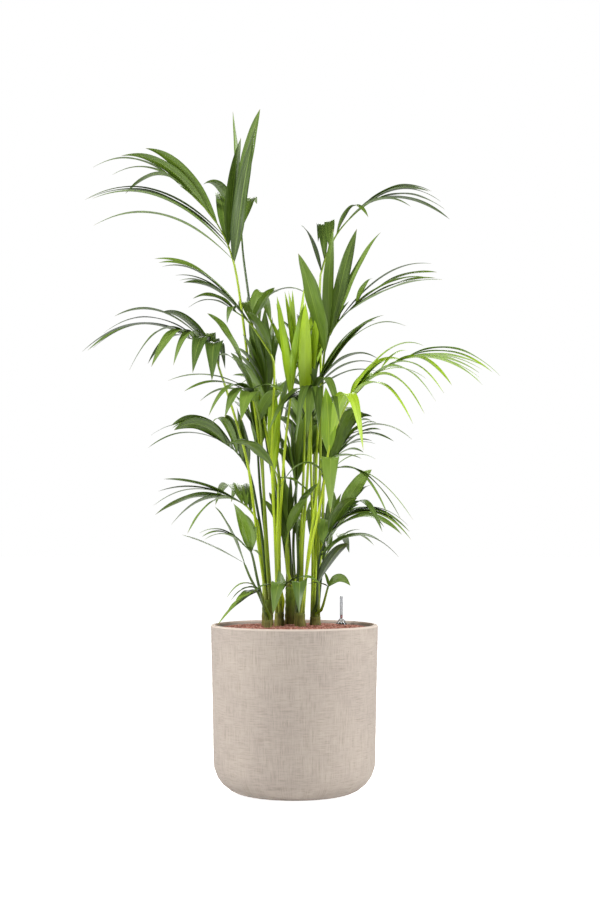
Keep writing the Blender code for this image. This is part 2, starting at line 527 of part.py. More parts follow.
def inner_profile(gap, z_top):
    """The planter's inside, moved inward by gap, from z_top down to the axis."""
    top_r = planter_outer_r(z_top) - PLANTER_WALL - gap
    corner = arc(inner_foot_r - inner_corner_r, PLANTER_BASE + inner_corner_r,
                 inner_corner_r - gap, 0, -90, 5)
    return [(top_r, z_top)] + corner + [(0.0, PLANTER_BASE + gap)]


def make_planter():
    outer_corner = arc(PLANTER_RIM_R - PLANTER_TAPER - PLANTER_CORNER_R, PLANTER_CORNER_R,
                       PLANTER_CORNER_R, 0, -90, 5)
    lip_z = PLANTER_HEIGHT - LIP_ROUND
    outer_lip = arc(PLANTER_RIM_R - LIP_ROUND, lip_z, LIP_ROUND, 90, 0, 2)
    inner_lip = arc(inner_rim_r + LIP_ROUND, lip_z, LIP_ROUND, 180, 90, 2)
    inside = inner_profile(0.0, lip_z)
    profile = [*reversed(inside[1:]), *inner_lip, *outer_lip, *outer_corner, (0.0, 0.0)]
    return turned("planter", profile, CLAY, ROUND_STEPS)


def make_fill_granules():
    """Lower granules: a cup between the planter and the culture pot, bored for the gauge."""
    cup_z = culture_foot_z - TOUCH_GAP
    cup_top_r = culture_outer_r(soil_z) + TOUCH_GAP
    cup_foot_r = culture_foot_r + TOUCH_GAP
    profile = [(0.0, cup_z), (cup_foot_r, cup_z), (cup_top_r, soil_z), *inner_profile(TOUCH_GAP, soil_z)]
    fill = turned("fill_granules", profile, GRANULE, ROUND_STEPS)
    bore = cylinder_cutter("gauge_bore", gauge_x, gauge_y, TUBE_R + TOUCH_GAP,
                           gauge_foot_z - TOUCH_GAP, soil_z + CM, SMALL_STEPS)
    cut(fill, bore)
    return fill


def make_culture_pot():
    """Inner pot, open at the top, with drain slots round its wall."""
    floor_z = culture_foot_z + CULTURE_WALL
    profile = [(0.0, floor_z), (culture_foot_r - CULTURE_WALL, floor_z), (culture_top_r - CULTURE_WALL, soil_z),
               (culture_top_r, soil_z), (culture_foot_r, culture_foot_z), (0.0, culture_foot_z)]
    pot = turned("culture_pot", profile, CULTURE, ROUND_STEPS)
    slot_z = culture_foot_z + CULTURE_HEIGHT * 0.45
    mesh = bpy.data.meshes.new("culture_slots")
    bm = bmesh.new()
    for i in range(SLOT_COUNT // 2):
        turn = Matrix.Rotation(math.pi * (2 * i + 0.5) / SLOT_COUNT, 4, "Z")
        size = Matrix.Diagonal((culture_top_r * 3, SLOT_WIDTH, SLOT_HEIGHT, 1.0))
        bmesh.ops.create_cube(bm, size=1.0, matrix=Matrix.Translation((0, 0, slot_z)) @ turn @ size)
    bm.to_mesh(mesh)
    bm.free()
    slots = add_object("culture_slots", mesh, CULTURE, CUTTERS)
    cut(pot, slots)
    pot.modifiers[-1].use_self = True
    return pot


def make_root_ball():
    floor_z = culture_foot_z + CULTURE_WALL + TOUCH_GAP
    margin = CULTURE_WALL + TOUCH_GAP
    profile = [(0.0, soil_z), (culture_top_r - margin, soil_z), (culture_foot_r - margin, floor_z), (0.0, floor_z)]
    return turned("root_ball", profile, ROOTS, ROUND_STEPS)


def make_top_granules(stems):
    """Top layer of granules, domed, with a hole for each stem and for the gauge."""
    top_r = planter_outer_r(granule_edge_z) - PLANTER_WALL - TOUCH_GAP
    bottom_r = planter_outer_r(soil_z) - PLANTER_WALL - TOUCH_GAP
    bottom_z = soil_z + TOUCH_GAP
    rings = (0.0, 0.5, 1.0)
    dome = [(top_r * share, granule_top_z(top_r * share)) for share in rings]
    layer = turned("top_granules", dome + [(bottom_r, bottom_z), (0.0, bottom_z)], GRANULE, ROUND_STEPS)
    z_low = bottom_z - CM
    z_high = granule_top_z(0.0) + CM
    for name, (x, y, radius) in stems.items():
        hole_r = (radius * STEM_SWELL + TOUCH_GAP) / math.cos(math.pi / SMALL_STEPS)
        cut(layer, cylinder_cutter(name + "_hole", x, y, hole_r, z_low, z_high, SMALL_STEPS))
    cut(layer, cylinder_cutter("gauge_hole", gauge_x, gauge_y, TUBE_R + TOUCH_GAP, z_low, z_high, SMALL_STEPS))
    return layer


# ---------------------------------------------------------------- water gauge

def make_gauge():
    """Tube, clear cap with its sight tube, and the float with its rod and red tip."""
    here = (gauge_x, gauge_y)
    bore_r = TUBE_R - TUBE_WALL
    lip_z = gauge_foot_z + TUBE_WALL
    tube = [(bore_r - TUBE_LIP, gauge_foot_z), (bore_r - TUBE_LIP, lip_z), (bore_r, lip_z),
            (bore_r, tube_top_z), (TUBE_R, tube_top_z), (TUBE_R, gauge_foot_z)]
    turned("gauge_tube", tube, TUBE, SMALL_STEPS, closed=True, centre=here)

    cap_z = tube_top_z + TOUCH_GAP
    neck_z = cap_z + CAP_CONE_HEIGHT
    end_z = neck_z + SIGHT_HEIGHT
    outer_end = arc(0.0, end_z - SIGHT_R, SIGHT_R, 90, 0, 3)
    inner_end = arc(0.0, end_z - SIGHT_R, SIGHT_R - SIGHT_WALL, 0, 90, 3)
    cap = [*outer_end, (SIGHT_R, neck_z + NECK_ROUND), (CAP_NECK_R, neck_z), (TUBE_R + CAP_FLANGE, cap_z + CAP_RIM),
           (TUBE_R + CAP_FLANGE, cap_z), (bore_r, cap_z), (CAP_NECK_R - TUBE_WALL, neck_z - TUBE_WALL),
           (SIGHT_R - SIGHT_WALL, neck_z - TUBE_WALL), *inner_end]
    turned("gauge_cap", cap, CLEAR, SMALL_STEPS, centre=here)

    float_r = bore_r - FLOAT_CLEARANCE
    float_z = lip_z + TOUCH_GAP
    float_top_z = float_z + FLOAT_HEIGHT
    tip_z = end_z - SIGHT_WALL - FLOAT_HEADROOM - FLOAT_TRAVEL
    tip_edge = TIP_R / 2
    end_r = float_r - FLOAT_EDGE
    rod = [(0.0, tip_z), (TIP_R - tip_edge, tip_z), (TIP_R, tip_z - tip_edge), (TIP_R, tip_z - TIP_HEIGHT),
           (ROD_R, tip_z - TIP_HEIGHT - tip_edge), (ROD_R, float_top_z), (end_r, float_top_z),
           (float_r, float_top_z - FLOAT_EDGE), (float_r, float_z + FLOAT_EDGE), (end_r, float_z), (0.0, float_z)]
    turned("gauge_float", rod, SIGNAL, SMALL_STEPS, centre=here)


# ---------------------------------------------------------------- palms

def stalks_of(palm):
    return [name for name in FRONDS if name.startswith(palm + "_")]


def lifted(point):
    """A table point in metres, on the soil as it is set."""
    return Vector((point[0] * CM, point[1] * CM, point[2] * CM + plant_lift))


def stalk_ring(palm):
    """Radius of the circle on which a palm's stalks stand."""
    count = len(stalks_of(palm))
    return (STALK_FOOT_R + STALK_FOOT_GAP / 2) / math.sin(math.pi / count)


def stalk_feet(palm):
    """Where each stalk of a palm stands: evenly round the ring, in the order that they lean."""
    x, y, top_cm = PALMS[palm]
    top = lifted((x, y, top_cm))
    leans = []
    for name in stalks_of(palm):
        first = lifted(FRONDS[name]["stalk"][0]) - top
        leans.append((math.atan2(first.y, first.x), name))
    leans.sort()
    pitch = 2 * math.pi / len(leans)
    offsets = [Vector((math.cos(a - i * pitch), math.sin(a - i * pitch))) for i, (a, _) in enumerate(leans)]
    mean = sum(offsets, Vector((0.0, 0.0)))
    start = math.atan2(mean.y, mean.x)
    ring = stalk_ring(palm)
    feet = {}
    for i, (_, name) in enumerate(leans):
        angle = start + i * pitch
        feet[name] = top + Vector((ring * math.cos(angle), ring * math.sin(angle), TOUCH_GAP))
    return feet


def make_stem(palm):
    """Short stem ringed by leaf scars. Returns its place and its radius at the top."""
    x, y, top_cm = PALMS[palm]
    top = lifted((x, y, top_cm))
    top_r = stalk_ring(palm) + STALK_FOOT_R + STEM_SHOULDER
    foot_z = soil_z + TOUCH_GAP
    rings = max(2, round((top.z - foot_z) / SCAR_PITCH))
    profile = [(0.0, top.z), (top_r - STEM_EDGE, top.z)]
    for i in range(rings):
        for share, depth in ((0.15, 0.0), (0.85, SCAR_DEPTH)):
            down = (i + share) / rings
            radius = top_r * (1 + (STEM_SWELL - 1) * down) - depth
            profile.append((radius, top.z + (foot_z - top.z) * down))
    profile += [(top_r * STEM_SWELL, foot_z), (0.0, foot_z)]
    turned(palm + "_stem", profile, STEM, STEM_STEPS, centre=(top.x, top.y))
    return top.x, top.y, top_r


def smooth_path(points, pitches):
    """Catmull-Rom curve through the points, with a station about every pitch."""
    path = [points[0]]
    for i in range(len(points) - 1):
        before = points[max(i - 1, 0)]
        start, end = points[i], points[i + 1]
        after = points[min(i + 2, len(points) - 1)]
        stations = max(1, round((end - start).length / pitches[i]))
        for k in range(1, stations + 1):
            t = k / stations
            path.append(0.5 * (2 * start + (end - before) * t
                               + (2 * before - 5 * start + 4 * end - after) * t ** 2
                               + (3 * start - before - 3 * end + after) * t ** 3))
    return path


def frond_path(foot, stalk, rachis, shift):
    """Stations of the stalk and of the rachis. shift moves all but the foot."""
    lift = Vector((0.0, 0.0, 2 * STALK_FOOT_R))
    points = [foot, foot + lift]
    points += [lifted(p) + shift * (0.5 if i == 0 else 1.0) for i, p in enumerate(stalk)]
    crown = len(points)
    points += [lifted(p) + shift for p in rachis]
    pitches = [STATION_PITCH] * (crown - 1) + [RACHIS_PITCH] * (len(points) - crown)
    stations = smooth_path(points, pitches)
    crown_at = min(range(len(stations)), key=lambda i: (stations[i] - points[crown]).length)
    return stations[:crown_at + 1], stations[crown_at:]


def tube_mesh(stalk, rachis, grow=0.0):
    """The stalk and rachis as one tapering tube, welded closed."""
    curve = bpy.data.curves.new("stalk", "CURVE")
    curve.dimensions = "3D"
    curve.bevel_depth = 1.0
    curve.bevel_resolution = 1
    curve.use_fill_caps = True
    spline = curve.splines.new("POLY")
    stations = stalk + rachis[1:]
    spline.points.add(len(stations) - 1)
    for i, station in enumerate(stations):
        spline.points[i].co = (*station, 1.0)
        if i < len(stalk):
            share = i / (len(stalk) - 1)
            radius = STALK_FOOT_R + (STALK_TOP_R - STALK_FOOT_R) * share ** STALK_TAPER_CURVE
        else:
            share = (i - len(stalk) + 1) / (len(rachis) - 1)
            radius = STALK_TOP_R + (RACHIS_END_R - STALK_TOP_R) * share
        spline.points[i].radius = radius + grow
    obj = bpy.data.objects.new("stalk", curve)
    PARTS.objects.link(obj)
    mesh = evaluated_mesh(obj)
    bpy.data.objects.remove(obj, do_unlink=True)
    bm = bmesh.new()
    bm.from_mesh(mesh)
    bmesh.ops.remove_doubles(bm, verts=bm.verts, dist=0.00001)
    bmesh.ops.recalc_face_normals(bm, faces=bm.faces)
    bm.to_mesh(mesh)
    bm.free()
    return mesh


def point_along(stations, share):
    """The point at a share of the length of a line through stations, and not on its very end."""
    lengths = [(b - a).length for a, b in zip(stations, stations[1:])]
    left = min(share * sum(lengths), sum(lengths) - BASE_INSET)
    for a, b, length in zip(stations, stations[1:], lengths):
        if left <= length:
            return a.lerp(b, left / length)
        left -= length
    return stations[-1]


# Sections of a leaflet: share of its length, and width against its widest.
LEAF_SECTIONS = ((0.0, 0.11), (0.1, 0.5), (0.3, 1.0), (0.55, 0.9), (0.8, 0.5))
BLADE_START = 2              # from this section on, a leaflet stands clear of its neighbours

# Pieces inside the planter, which no frond can reach.
HIDDEN_PIECES = ("root_ball", "fill_granules", "culture_pot", "gauge_float")


def leaf_mesh(base, tip, width, bow, roll, grow=0.0, start=0):
    """A lanceolate blade that arches from base to tip. start leaves out its first sections."""
    chord = tip - base
    flat = Vector((chord.x, chord.y, 0.0))
    middle = base + chord / 2 + Vector((0.0, 0.0, 2 * bow * flat.length))
    across = Vector((0, 0, 1)).cross(flat).normalized() if flat.length > CM else Vector((1, 0, 0))
    bm = bmesh.new()
    sections = []
    for share, wide in LEAF_SECTIONS[start:]:
        centre = (1 - share) ** 2 * base + 2 * share * (1 - share) * middle + share ** 2 * tip
        along = ((1 - share) * (middle - base) + share * (tip - middle)).normalized()
        side = (across - along * across.dot(along)).normalized()
        side = Matrix.Rotation(math.radians(roll), 3, along) @ side
        up = side.cross(along)
        half = side * (width / 2 * wide + grow)
        sections.append([bm.verts.new(centre - half - up * grow), bm.verts.new(centre + half - up * grow),
                         bm.verts.new(centre + up * (LEAF_RIDGE + 2 * grow))])
    end = bm.verts.new(tip + (tip - middle).normalized() * grow)
    bm.faces.new(sections[0])
    for near, far in zip(sections, sections[1:]):
        for i in range(3):
            j = (i + 1) % 3
            bm.faces.new((near[i], far[i], far[j], near[j]))
    last = sections[-1]
    for i in range(3):
        bm.faces.new((last[i], end, last[(i + 1) % 3]))
    bmesh.ops.recalc_face_normals(bm, faces=bm.faces)
    mesh = bpy.data.meshes.new("leaflet")
    bm.to_mesh(mesh)
    bm.free()
    return mesh


def tree_of(mesh):
    return BVHTree.FromPolygons([v.co for v in mesh.vertices], [p.vertices for p in mesh.polygons])


def shifts(step, count):
    """No shift, then ever larger ones in depth, then ever larger ones in eight directions."""
    depth = [Vector((0.0, 0.0, 0.0))]
    around = []
    for i in range(1, count + 1):
        depth += [Vector((0.0, i * step, 0.0)), Vector((0.0, -i * step, 0.0))]
        for k in range(8):
            turn = math.pi * k / 4
            around.append(Vector((math.cos(turn), math.sin(turn), 0.0)) * i * step)
    return depth + around


def clear_tube(foot, stalk, rachis, obstacles):
    """The frond's stations, moved aside as little as keeps the tube clear of the others."""
    for shift in shifts(STALK_STEP, STALK_TRIES):
        stations = frond_path(foot, stalk, rachis, shift)
        guard = tree_of(tube_mesh(*stations, grow=LEAF_CLEARANCE / 2))
        if not any(guard.overlap(other) for other in obstacles):
            return stations
    print("no clear way for a stalk from", tuple(round(c, 3) for c in foot))
    return frond_path(foot, stalk, rachis, Vector())


def clear_leaf(rachis, leaf, others, own):
    """A leaflet, its tip moved aside as little as keeps it clear of everything near it."""
    at, x, y, z, width = leaf[:5]
    bow = leaf[5] if len(leaf) > 5 else LEAF_BOW
    roll = leaf[6] if len(leaf) > 6 else 0.0
    base = point_along(rachis, at)
    moves = shifts(LEAF_STEP, LEAF_TRIES)
    in_depth = 2 * LEAF_TRIES + 1
    for some in (moves[:in_depth], moves[in_depth:]):
        for turn, shift in itertools.product(LEAF_TURNS, some):
            tip = lifted((x, y, z)) + shift
            place = (base, tip, width * CM, bow, roll + turn)
            guard = tree_of(leaf_mesh(*place, grow=LEAF_CLEARANCE))
            if any(guard.overlap(other) for other in others):
                continue
            blade = tree_of(leaf_mesh(*place, grow=LEAF_CLEARANCE / 2, start=BLADE_START))
            if not any(blade.overlap(other) for other in own):
                return place
    print("no clear place for a leaflet near", tuple(round(c, 3) for c in base))
    return (base, lifted((x, y, z)), width * CM, bow, roll)


def join_frond(name, tube, leaves, mat):
    """One closed body from the tube and its leaflets."""
    blades = bpy.data.collections.new(name + "_leaflets")
    bpy.context.scene.collection.children.link(blades)
    for leaf in leaves:
        blade = bpy.data.objects.new(name + "_leaflet", leaf_mesh(*leaf))
        blades.objects.link(blade)
    obj = add_object(name, tube, mat)
    union = obj.modifiers.new("leaflets", "BOOLEAN")
    union.operation = "UNION"
    union.operand_type = "COLLECTION"
    union.collection = blades
    mesh = evaluated_mesh(obj)
    obj.modifiers.clear()
    obj.data = mesh
    mesh.name = name
    for blade in list(blades.objects):
        bpy.data.objects.remove(blade, do_unlink=True)
    bpy.data.collections.remove(blades)
    return obj


def placed_tree(obj):
    """A search tree of an object as its modifiers and its place leave it."""
    mesh = evaluated_mesh(obj)
    mesh.transform(obj.matrix_world)
    tree = tree_of(mesh)
    bpy.data.meshes.remove(mesh)
    return tree


def make_stalks(obstacles):
    """Every frond's stations and tube, each clear of the obstacles and of the tubes before it."""
    feet = {}
    for palm in PALMS:
        feet.update(stalk_feet(palm))
    paths, tubes, trees = {}, {}, {}
    for name, frond in FRONDS.items():
        in_the_way = obstacles + list(trees.values())
        paths[name] = clear_tube(feet[name], frond["stalk"], frond["rachis"], in_the_way)
        tubes[name] = tube_mesh(*paths[name])
        trees[name] = tree_of(tubes[name])
    return paths, tubes, trees


def make_palms():
    """Stems first, then every stalk, then the leaflets, each clear of what is there already."""
    stems = {palm: make_stem(palm) for palm in PALMS}
    make_top_granules(stems)
    in_reach = [obj for obj in PARTS.objects if obj.name not in HIDDEN_PIECES]
    fixed = [placed_tree(obj) for obj in in_reach]
    paths, tubes, trees = make_stalks(fixed)
    blades_so_far = []
    for name, frond in FRONDS.items():
        others = fixed + blades_so_far + [tree for other, tree in trees.items() if other != name]
        places, own, whole = [], [], []
        for leaf in frond["leaves"]:
            place = clear_leaf(paths[name][1], leaf, others, own)
            places.append(place)
            own.append(tree_of(leaf_mesh(*place, start=BLADE_START)))
            whole.append(tree_of(leaf_mesh(*place)))
        blades_so_far += whole
        join_frond(name, tubes[name], places, YOUNG_LEAF if name in YOUNG_FRONDS else LEAF)


make_planter()
make_fill_granules()
make_culture_pot()
make_root_ball()
make_gauge()
make_palms()
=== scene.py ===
# %% [markdown]
# # A potted palm: looks built round a fixed frame
# The CAD model gives every piece its place and size: a planter, granules, a water gauge, seven
# ringed stems and 37 fronds. This script keeps those places and makes each piece look like the
# real thing. It reads the frame first, because every later step measures its pieces from it.

# %% Load the frame
import json
import math
import random

import bmesh
import bpy
import numpy as np
from mathutils import Matrix, Vector, noise


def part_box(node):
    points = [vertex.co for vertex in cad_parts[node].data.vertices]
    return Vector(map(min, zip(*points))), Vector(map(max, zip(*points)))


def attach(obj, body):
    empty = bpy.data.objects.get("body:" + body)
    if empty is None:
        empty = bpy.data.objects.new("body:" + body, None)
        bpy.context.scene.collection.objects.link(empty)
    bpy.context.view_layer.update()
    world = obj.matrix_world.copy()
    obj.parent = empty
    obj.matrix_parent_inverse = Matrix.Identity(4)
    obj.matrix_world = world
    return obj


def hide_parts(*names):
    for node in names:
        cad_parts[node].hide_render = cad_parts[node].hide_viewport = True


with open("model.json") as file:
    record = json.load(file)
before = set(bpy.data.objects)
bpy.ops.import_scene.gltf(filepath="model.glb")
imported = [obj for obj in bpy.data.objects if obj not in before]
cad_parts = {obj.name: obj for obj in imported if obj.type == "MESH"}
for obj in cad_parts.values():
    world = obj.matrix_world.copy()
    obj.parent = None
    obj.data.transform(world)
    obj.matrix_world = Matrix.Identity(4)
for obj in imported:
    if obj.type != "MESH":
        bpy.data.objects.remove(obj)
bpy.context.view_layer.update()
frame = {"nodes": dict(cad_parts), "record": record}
nodes = frame["nodes"]
slot_of = {row["node"]: row["material_slot"] for row in frame["record"]["subparts"]}
frond_names = sorted(name for name in nodes if "_frond_" in name)
stem_names = sorted(name for name in nodes if name.endswith("_stem"))
print("frame:", len(nodes), "nodes,", len(frond_names), "fronds,", len(stem_names), "stems")

# %% [markdown]
# ## Small helpers
# Operators act on whatever is selected, so each step first selects one object alone. A finished
# piece has its place in its mesh and its object at the origin, as the frame's own nodes have.

# %% Selecting, finishing and joining
def only(obj):
    """Select one object alone and make it the active one."""
    bpy.ops.object.select_all(action="DESELECT")
    obj.select_set(True)
    bpy.context.view_layer.objects.active = obj
    return obj


def apply_modifiers(obj):
    only(obj)
    for modifier in list(obj.modifiers):
        bpy.ops.object.modifier_apply(modifier=modifier.name)


def settle(obj):
    """Put an object's place and size into its mesh."""
    only(obj)
    bpy.ops.object.transform_apply(location=True, rotation=True, scale=True)


def wear(obj, *materials):
    """Give a piece its materials."""
    obj.data.materials.clear()
    for mat in materials:
        obj.data.materials.append(mat)


def place(obj, node, body="root"):
    """Let a finished piece stand for a CAD node, and ride with its body."""
    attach(obj, body)
    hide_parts(node)


# %% [markdown]
# ## Node groups that several finishes share
# A mottle breaks up a plain colour with soft patches and fine specks, as dry clay, bark and fibre
# have. Veins are fine lines that run the length of a blade or a stalk: they follow the piece's own
# UV map, with U across and V along, so that they bend with it.

# %% Groups of shader nodes
def new_group(name, inputs, outputs):
    """An empty node group with named sockets. Returns it with its input and output nodes."""
    group = bpy.data.node_groups.new(name, "ShaderNodeTree")
    for label, kind, value in inputs:
        socket = group.interface.new_socket(label, in_out="INPUT", socket_type=kind)
        if value is not None:
            socket.default_value = value
    for label, kind in outputs:
        group.interface.new_socket(label, in_out="OUTPUT", socket_type=kind)
    return group, group.nodes.new("NodeGroupInput"), group.nodes.new("NodeGroupOutput")


def add_node(tree, kind, links=None, **settings):
    """Add a node, set its properties and inputs, and link sockets to its inputs."""
    node = tree.nodes.new(kind)
    for key, value in settings.items():
        if key in node.inputs:
            node.inputs[key].default_value = value
        else:
            setattr(node, key, value)
    for key, socket in (links or {}).items():
        tree.links.new(socket, node.inputs[key])
    return node


def ramp(tree, factor, *stops):
    """A colour ramp through (position, value) or (position, colour) stops."""
    node = tree.nodes.new("ShaderNodeValToRGB")
    tree.links.new(factor, node.inputs["Fac"])
    elements = node.color_ramp.elements
    while len(elements) < len(stops):
        elements.new(0.5)
    for element, (position, value) in zip(elements, stops):
        element.position = position
        element.color = (value, value, value, 1) if isinstance(value, float) else (*value, 1)
    return node.outputs["Color"]


def mix(tree, factor, first, second, blend="MIX"):
    """Mix two colours, each a socket or a plain colour, by a socket or a number."""
    node = tree.nodes.new("ShaderNodeMix")
    node.data_type = "RGBA"
    node.blend_type = blend
    for index, value in ((0, factor), (6, first), (7, second)):
        if isinstance(value, bpy.types.NodeSocket):
            tree.links.new(value, node.inputs[index])
        elif isinstance(value, tuple):
            node.inputs[index].default_value = (*value, 1)
        else:
            node.inputs[index].default_value = value
    return node.outputs[2]


def make_mottle():
    group, enter, leave = new_group(
        "mottle",
        [("Vector", "NodeSocketVector", None), ("Scale", "NodeSocketFloat", 20.0),
         ("Dark", "NodeSocketColor", (0.2, 0.2, 0.2, 1)), ("Light", "NodeSocketColor", (0.8, 0.8, 0.8, 1))],
        [("Colour", "NodeSocketColor"), ("Height", "NodeSocketFloat")])
    patches = add_node(group, "ShaderNodeTexNoise", Detail=4.0, Roughness=0.6, links={
        "Vector": enter.outputs["Vector"], "Scale": enter.outputs["Scale"]})
    fine = add_node(group, "ShaderNodeMath", operation="MULTIPLY", links={0: enter.outputs["Scale"]})
    fine.inputs[1].default_value = 9.0
    specks = add_node(group, "ShaderNodeTexNoise", Detail=2.0, links={
        "Vector": enter.outputs["Vector"], "Scale": fine.outputs[0]})
    blend = mix(group, 0.35, patches.outputs["Fac"], specks.outputs["Fac"])
    shade = ramp(group, blend, (0.32, 0.0), (0.66, 1.0))
    colour = mix(group, shade, enter.outputs["Dark"], enter.outputs["Light"])
    group.links.new(colour, leave.inputs["Colour"])
    group.links.new(blend, leave.inputs["Height"])
    return group


def make_veins():
    group, enter, leave = new_group(
        "veins",
        [("UV", "NodeSocketVector", None), ("Count", "NodeSocketFloat", 30.0),
         ("Length", "NodeSocketFloat", 2.0)],
        [("Lines", "NodeSocketFloat"), ("Patches", "NodeSocketFloat")])
    split = add_node(group, "ShaderNodeSeparateXYZ", links={"Vector": enter.outputs["UV"]})
    across = add_node(group, "ShaderNodeMath", operation="MULTIPLY", links={
        0: split.outputs["X"], 1: enter.outputs["Count"]})
    along = add_node(group, "ShaderNodeMath", operation="MULTIPLY", links={
        0: split.outputs["Y"], 1: enter.outputs["Length"]})
    stretched = add_node(group, "ShaderNodeCombineXYZ", links={
        "X": across.outputs[0], "Y": along.outputs[0], "Z": split.outputs["Z"]})
    lines = add_node(group, "ShaderNodeTexNoise", Scale=1.0, Detail=1.0, links={
        "Vector": stretched.outputs["Vector"]})
    patches = add_node(group, "ShaderNodeTexNoise", Scale=3.0, Detail=2.0, links={
        "Vector": enter.outputs["UV"]})
    group.links.new(lines.outputs["Fac"], leave.inputs["Lines"])
    group.links.new(patches.outputs["Fac"], leave.inputs["Patches"])
    return group


MOTTLE = make_mottle()
VEINS = make_veins()


def new_material(name, roughness, **settings):
    """A material with a Principled shader. Returns it with its node tree and shader."""
    mat = bpy.data.materials.new(name)
    mat.use_nodes = True
    shader = mat.node_tree.nodes["Principled BSDF"]
    shader.inputs["Roughness"].default_value = roughness
    for label, value in settings.items():
        shader.inputs[label.replace("_", " ")].default_value = value
    return mat, mat.node_tree, shader


def bump(tree, shader, height, distance, strength=1.0, under=None):
    links = {"Height": height}
    if under is not None:
        links["Normal"] = under
    node = add_node(tree, "ShaderNodeBump", links=links, Distance=distance, Strength=strength)
    tree.links.new(node.outputs["Normal"], shader.inputs["Normal"])
    return node.outputs["Normal"]


def use_mottle(tree, scale, dark, light, vector=None):
    if vector is None:
        vector = add_node(tree, "ShaderNodeTexCoord").outputs["Object"]
    node = add_node(tree, "ShaderNodeGroup", node_tree=MOTTLE, links={"Vector": vector})
    node.inputs["Scale"].default_value = scale
    node.inputs["Dark"].default_value = (*dark, 1)
    node.inputs["Light"].default_value = (*light, 1)
    return node


# %% [markdown]
# ## Turned pieces
# The planter, stems and gauge are round. Their CAD nodes are turned with few sides, so the profile
# is read back from the node and spun again with many more. Reading it from the frame keeps every
# size true. Short arcs of the profile are rounded by a smooth curve, and long walls stay straight.

# %% Read a profile from the frame, and spin it
LONG_AGAINST_SHORT = 3.0   # a stretch this much longer than its neighbour is a straight wall
SHARP_ANGLE = math.radians(50)   # a corner that turns more than this stays sharp


def profile_of(node):
    """The (radius, height) outline of a turned CAD node, and its axis."""
    low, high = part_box(node)
    axis = (low + high) / 2
    axis.z = 0.0
    bm = bmesh.new()
    bm.from_mesh(nodes[node].data)
    bmesh.ops.remove_doubles(bm, verts=bm.verts, dist=0.000005)
    near = 0.00005
    on_plane = [v for v in bm.verts if abs(v.co.y - axis.y) < near and v.co.x > axis.x - near]
    inside = set(on_plane)
    start = min(on_plane, key=lambda v: (round(v.co.x, 4), v.co.z))
    path, seen = [start], {start}
    while True:
        ahead = [e.other_vert(path[-1]) for e in path[-1].link_edges]
        ahead = [v for v in ahead if v in inside and v not in seen]
        if not ahead:
            break
        path.append(min(ahead, key=lambda v: (v.co - path[-1].co).length))
        seen.add(path[-1])
    outline = [(max(v.co.x - axis.x, 0.0), v.co.z) for v in path]
    bm.free()
    return outline, axis


def rounded(outline, pitch):
    """The outline with its short stretches curved, and a point about every pitch."""
    points = [Vector(p) for p in outline]
    steps = [after - before for before, after in zip(points, points[1:])]

    def tangent(i):
        before = steps[i - 1] if i > 0 else steps[0]
        after = steps[i] if i < len(steps) else steps[-1]
        if before.length > LONG_AGAINST_SHORT * after.length:
            return before.normalized()
        if after.length > LONG_AGAINST_SHORT * before.length:
            return after.normalized()
        if before.angle(after) > SHARP_ANGLE:
            return None
        return (before.normalized() + after.normalized()).normalized()

    result = []
    for i, step in enumerate(steps):
        start, end = points[i], points[i + 1]
        leave = tangent(i) or step.normalized()
        arrive = tangent(i + 1) or step.normalized()
        pieces = max(1, round(step.length / pitch))
        for k in range(pieces):
            t = k / pieces
            result.append((2 * t ** 3 - 3 * t ** 2 + 1) * start
                          + (t ** 3 - 2 * t ** 2 + t) * step.length * leave
                          + (3 * t ** 2 - 2 * t ** 3) * end
                          + (t ** 3 - t ** 2) * step.length * arrive)
    result.append(points[-1])
    return [(max(p.x, 0.0), p.y) for p in result]


def spun(name, outline, axis, sides):
    """Extrude one point along an outline, spin it round the axis, and close the seam."""
    bpy.ops.object.select_all(action="DESELECT")
    bpy.ops.mesh.primitive_plane_add(size=0.01)
    obj = bpy.context.object
    obj.name = name
    bpy.ops.object.mode_set(mode="EDIT")
    bpy.ops.mesh.select_all(action="SELECT")
    bpy.ops.mesh.merge(type="CENTER")
    here = Vector((outline[0][0] + axis.x, axis.y, outline[0][1]))
    bpy.ops.transform.translate(value=here)
    for radius, z in outline[1:]:
        there = Vector((radius + axis.x, axis.y, z))
        bpy.ops.mesh.extrude_region_move(TRANSFORM_OT_translate={"value": there - here})
        here = there
    bpy.ops.mesh.select_all(action="SELECT")
    bpy.ops.mesh.spin(steps=sides, angle=2 * math.pi, center=tuple(axis), axis=(0, 0, 1))
    bpy.ops.mesh.select_all(action="SELECT")
    bpy.ops.mesh.remove_doubles(threshold=0.00002)
    bpy.ops.mesh.normals_make_consistent(inside=False)
    bpy.ops.object.mode_set(mode="OBJECT")
    settle(obj)
    bpy.ops.object.shade_smooth_by_angle(angle=math.radians(40))
    return obj


# %% [markdown]
# ## The planter
# The real one is fibre clay, combed while wet: short vertical and horizontal strokes cross like
# linen, with small pits. The lip is painted paler: painted light where its top faces the lamps.
# The strokes that stand out are pushed into the mesh. The finest hatch, which is under a
# millimetre deep, is a bump in the finish.

# %% Spin and comb the planter
PLANTER_PITCH = 0.0032
PLANTER_SIDES = 360
COMB_DEPTH = 0.00045
LIP_PAINTED_LIGHT_FROM = 0.0045   # below the rim, where the painted light on the lip starts
LIP_PAINTED_LIGHT_FULL = 0.0025

outline, planter_axis = profile_of("planter")
rim_z = max(z for _, z in outline)
rim_r = max(r for r, _ in outline)
inner_r = min(r for r, z in outline if z > rim_z - 0.01)
cavity_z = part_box("fill_granules")[0].z


def is_outside(r, z):
    return r > inner_r + 0.004 or z < cavity_z - 0.002


def thin_inside(points):
    """Keep every point of the outside, and one in six of the wall that the granules hide."""
    return [p for i, p in enumerate(points) if is_outside(*p) or i % 6 == 0 or i == len(points) - 1]


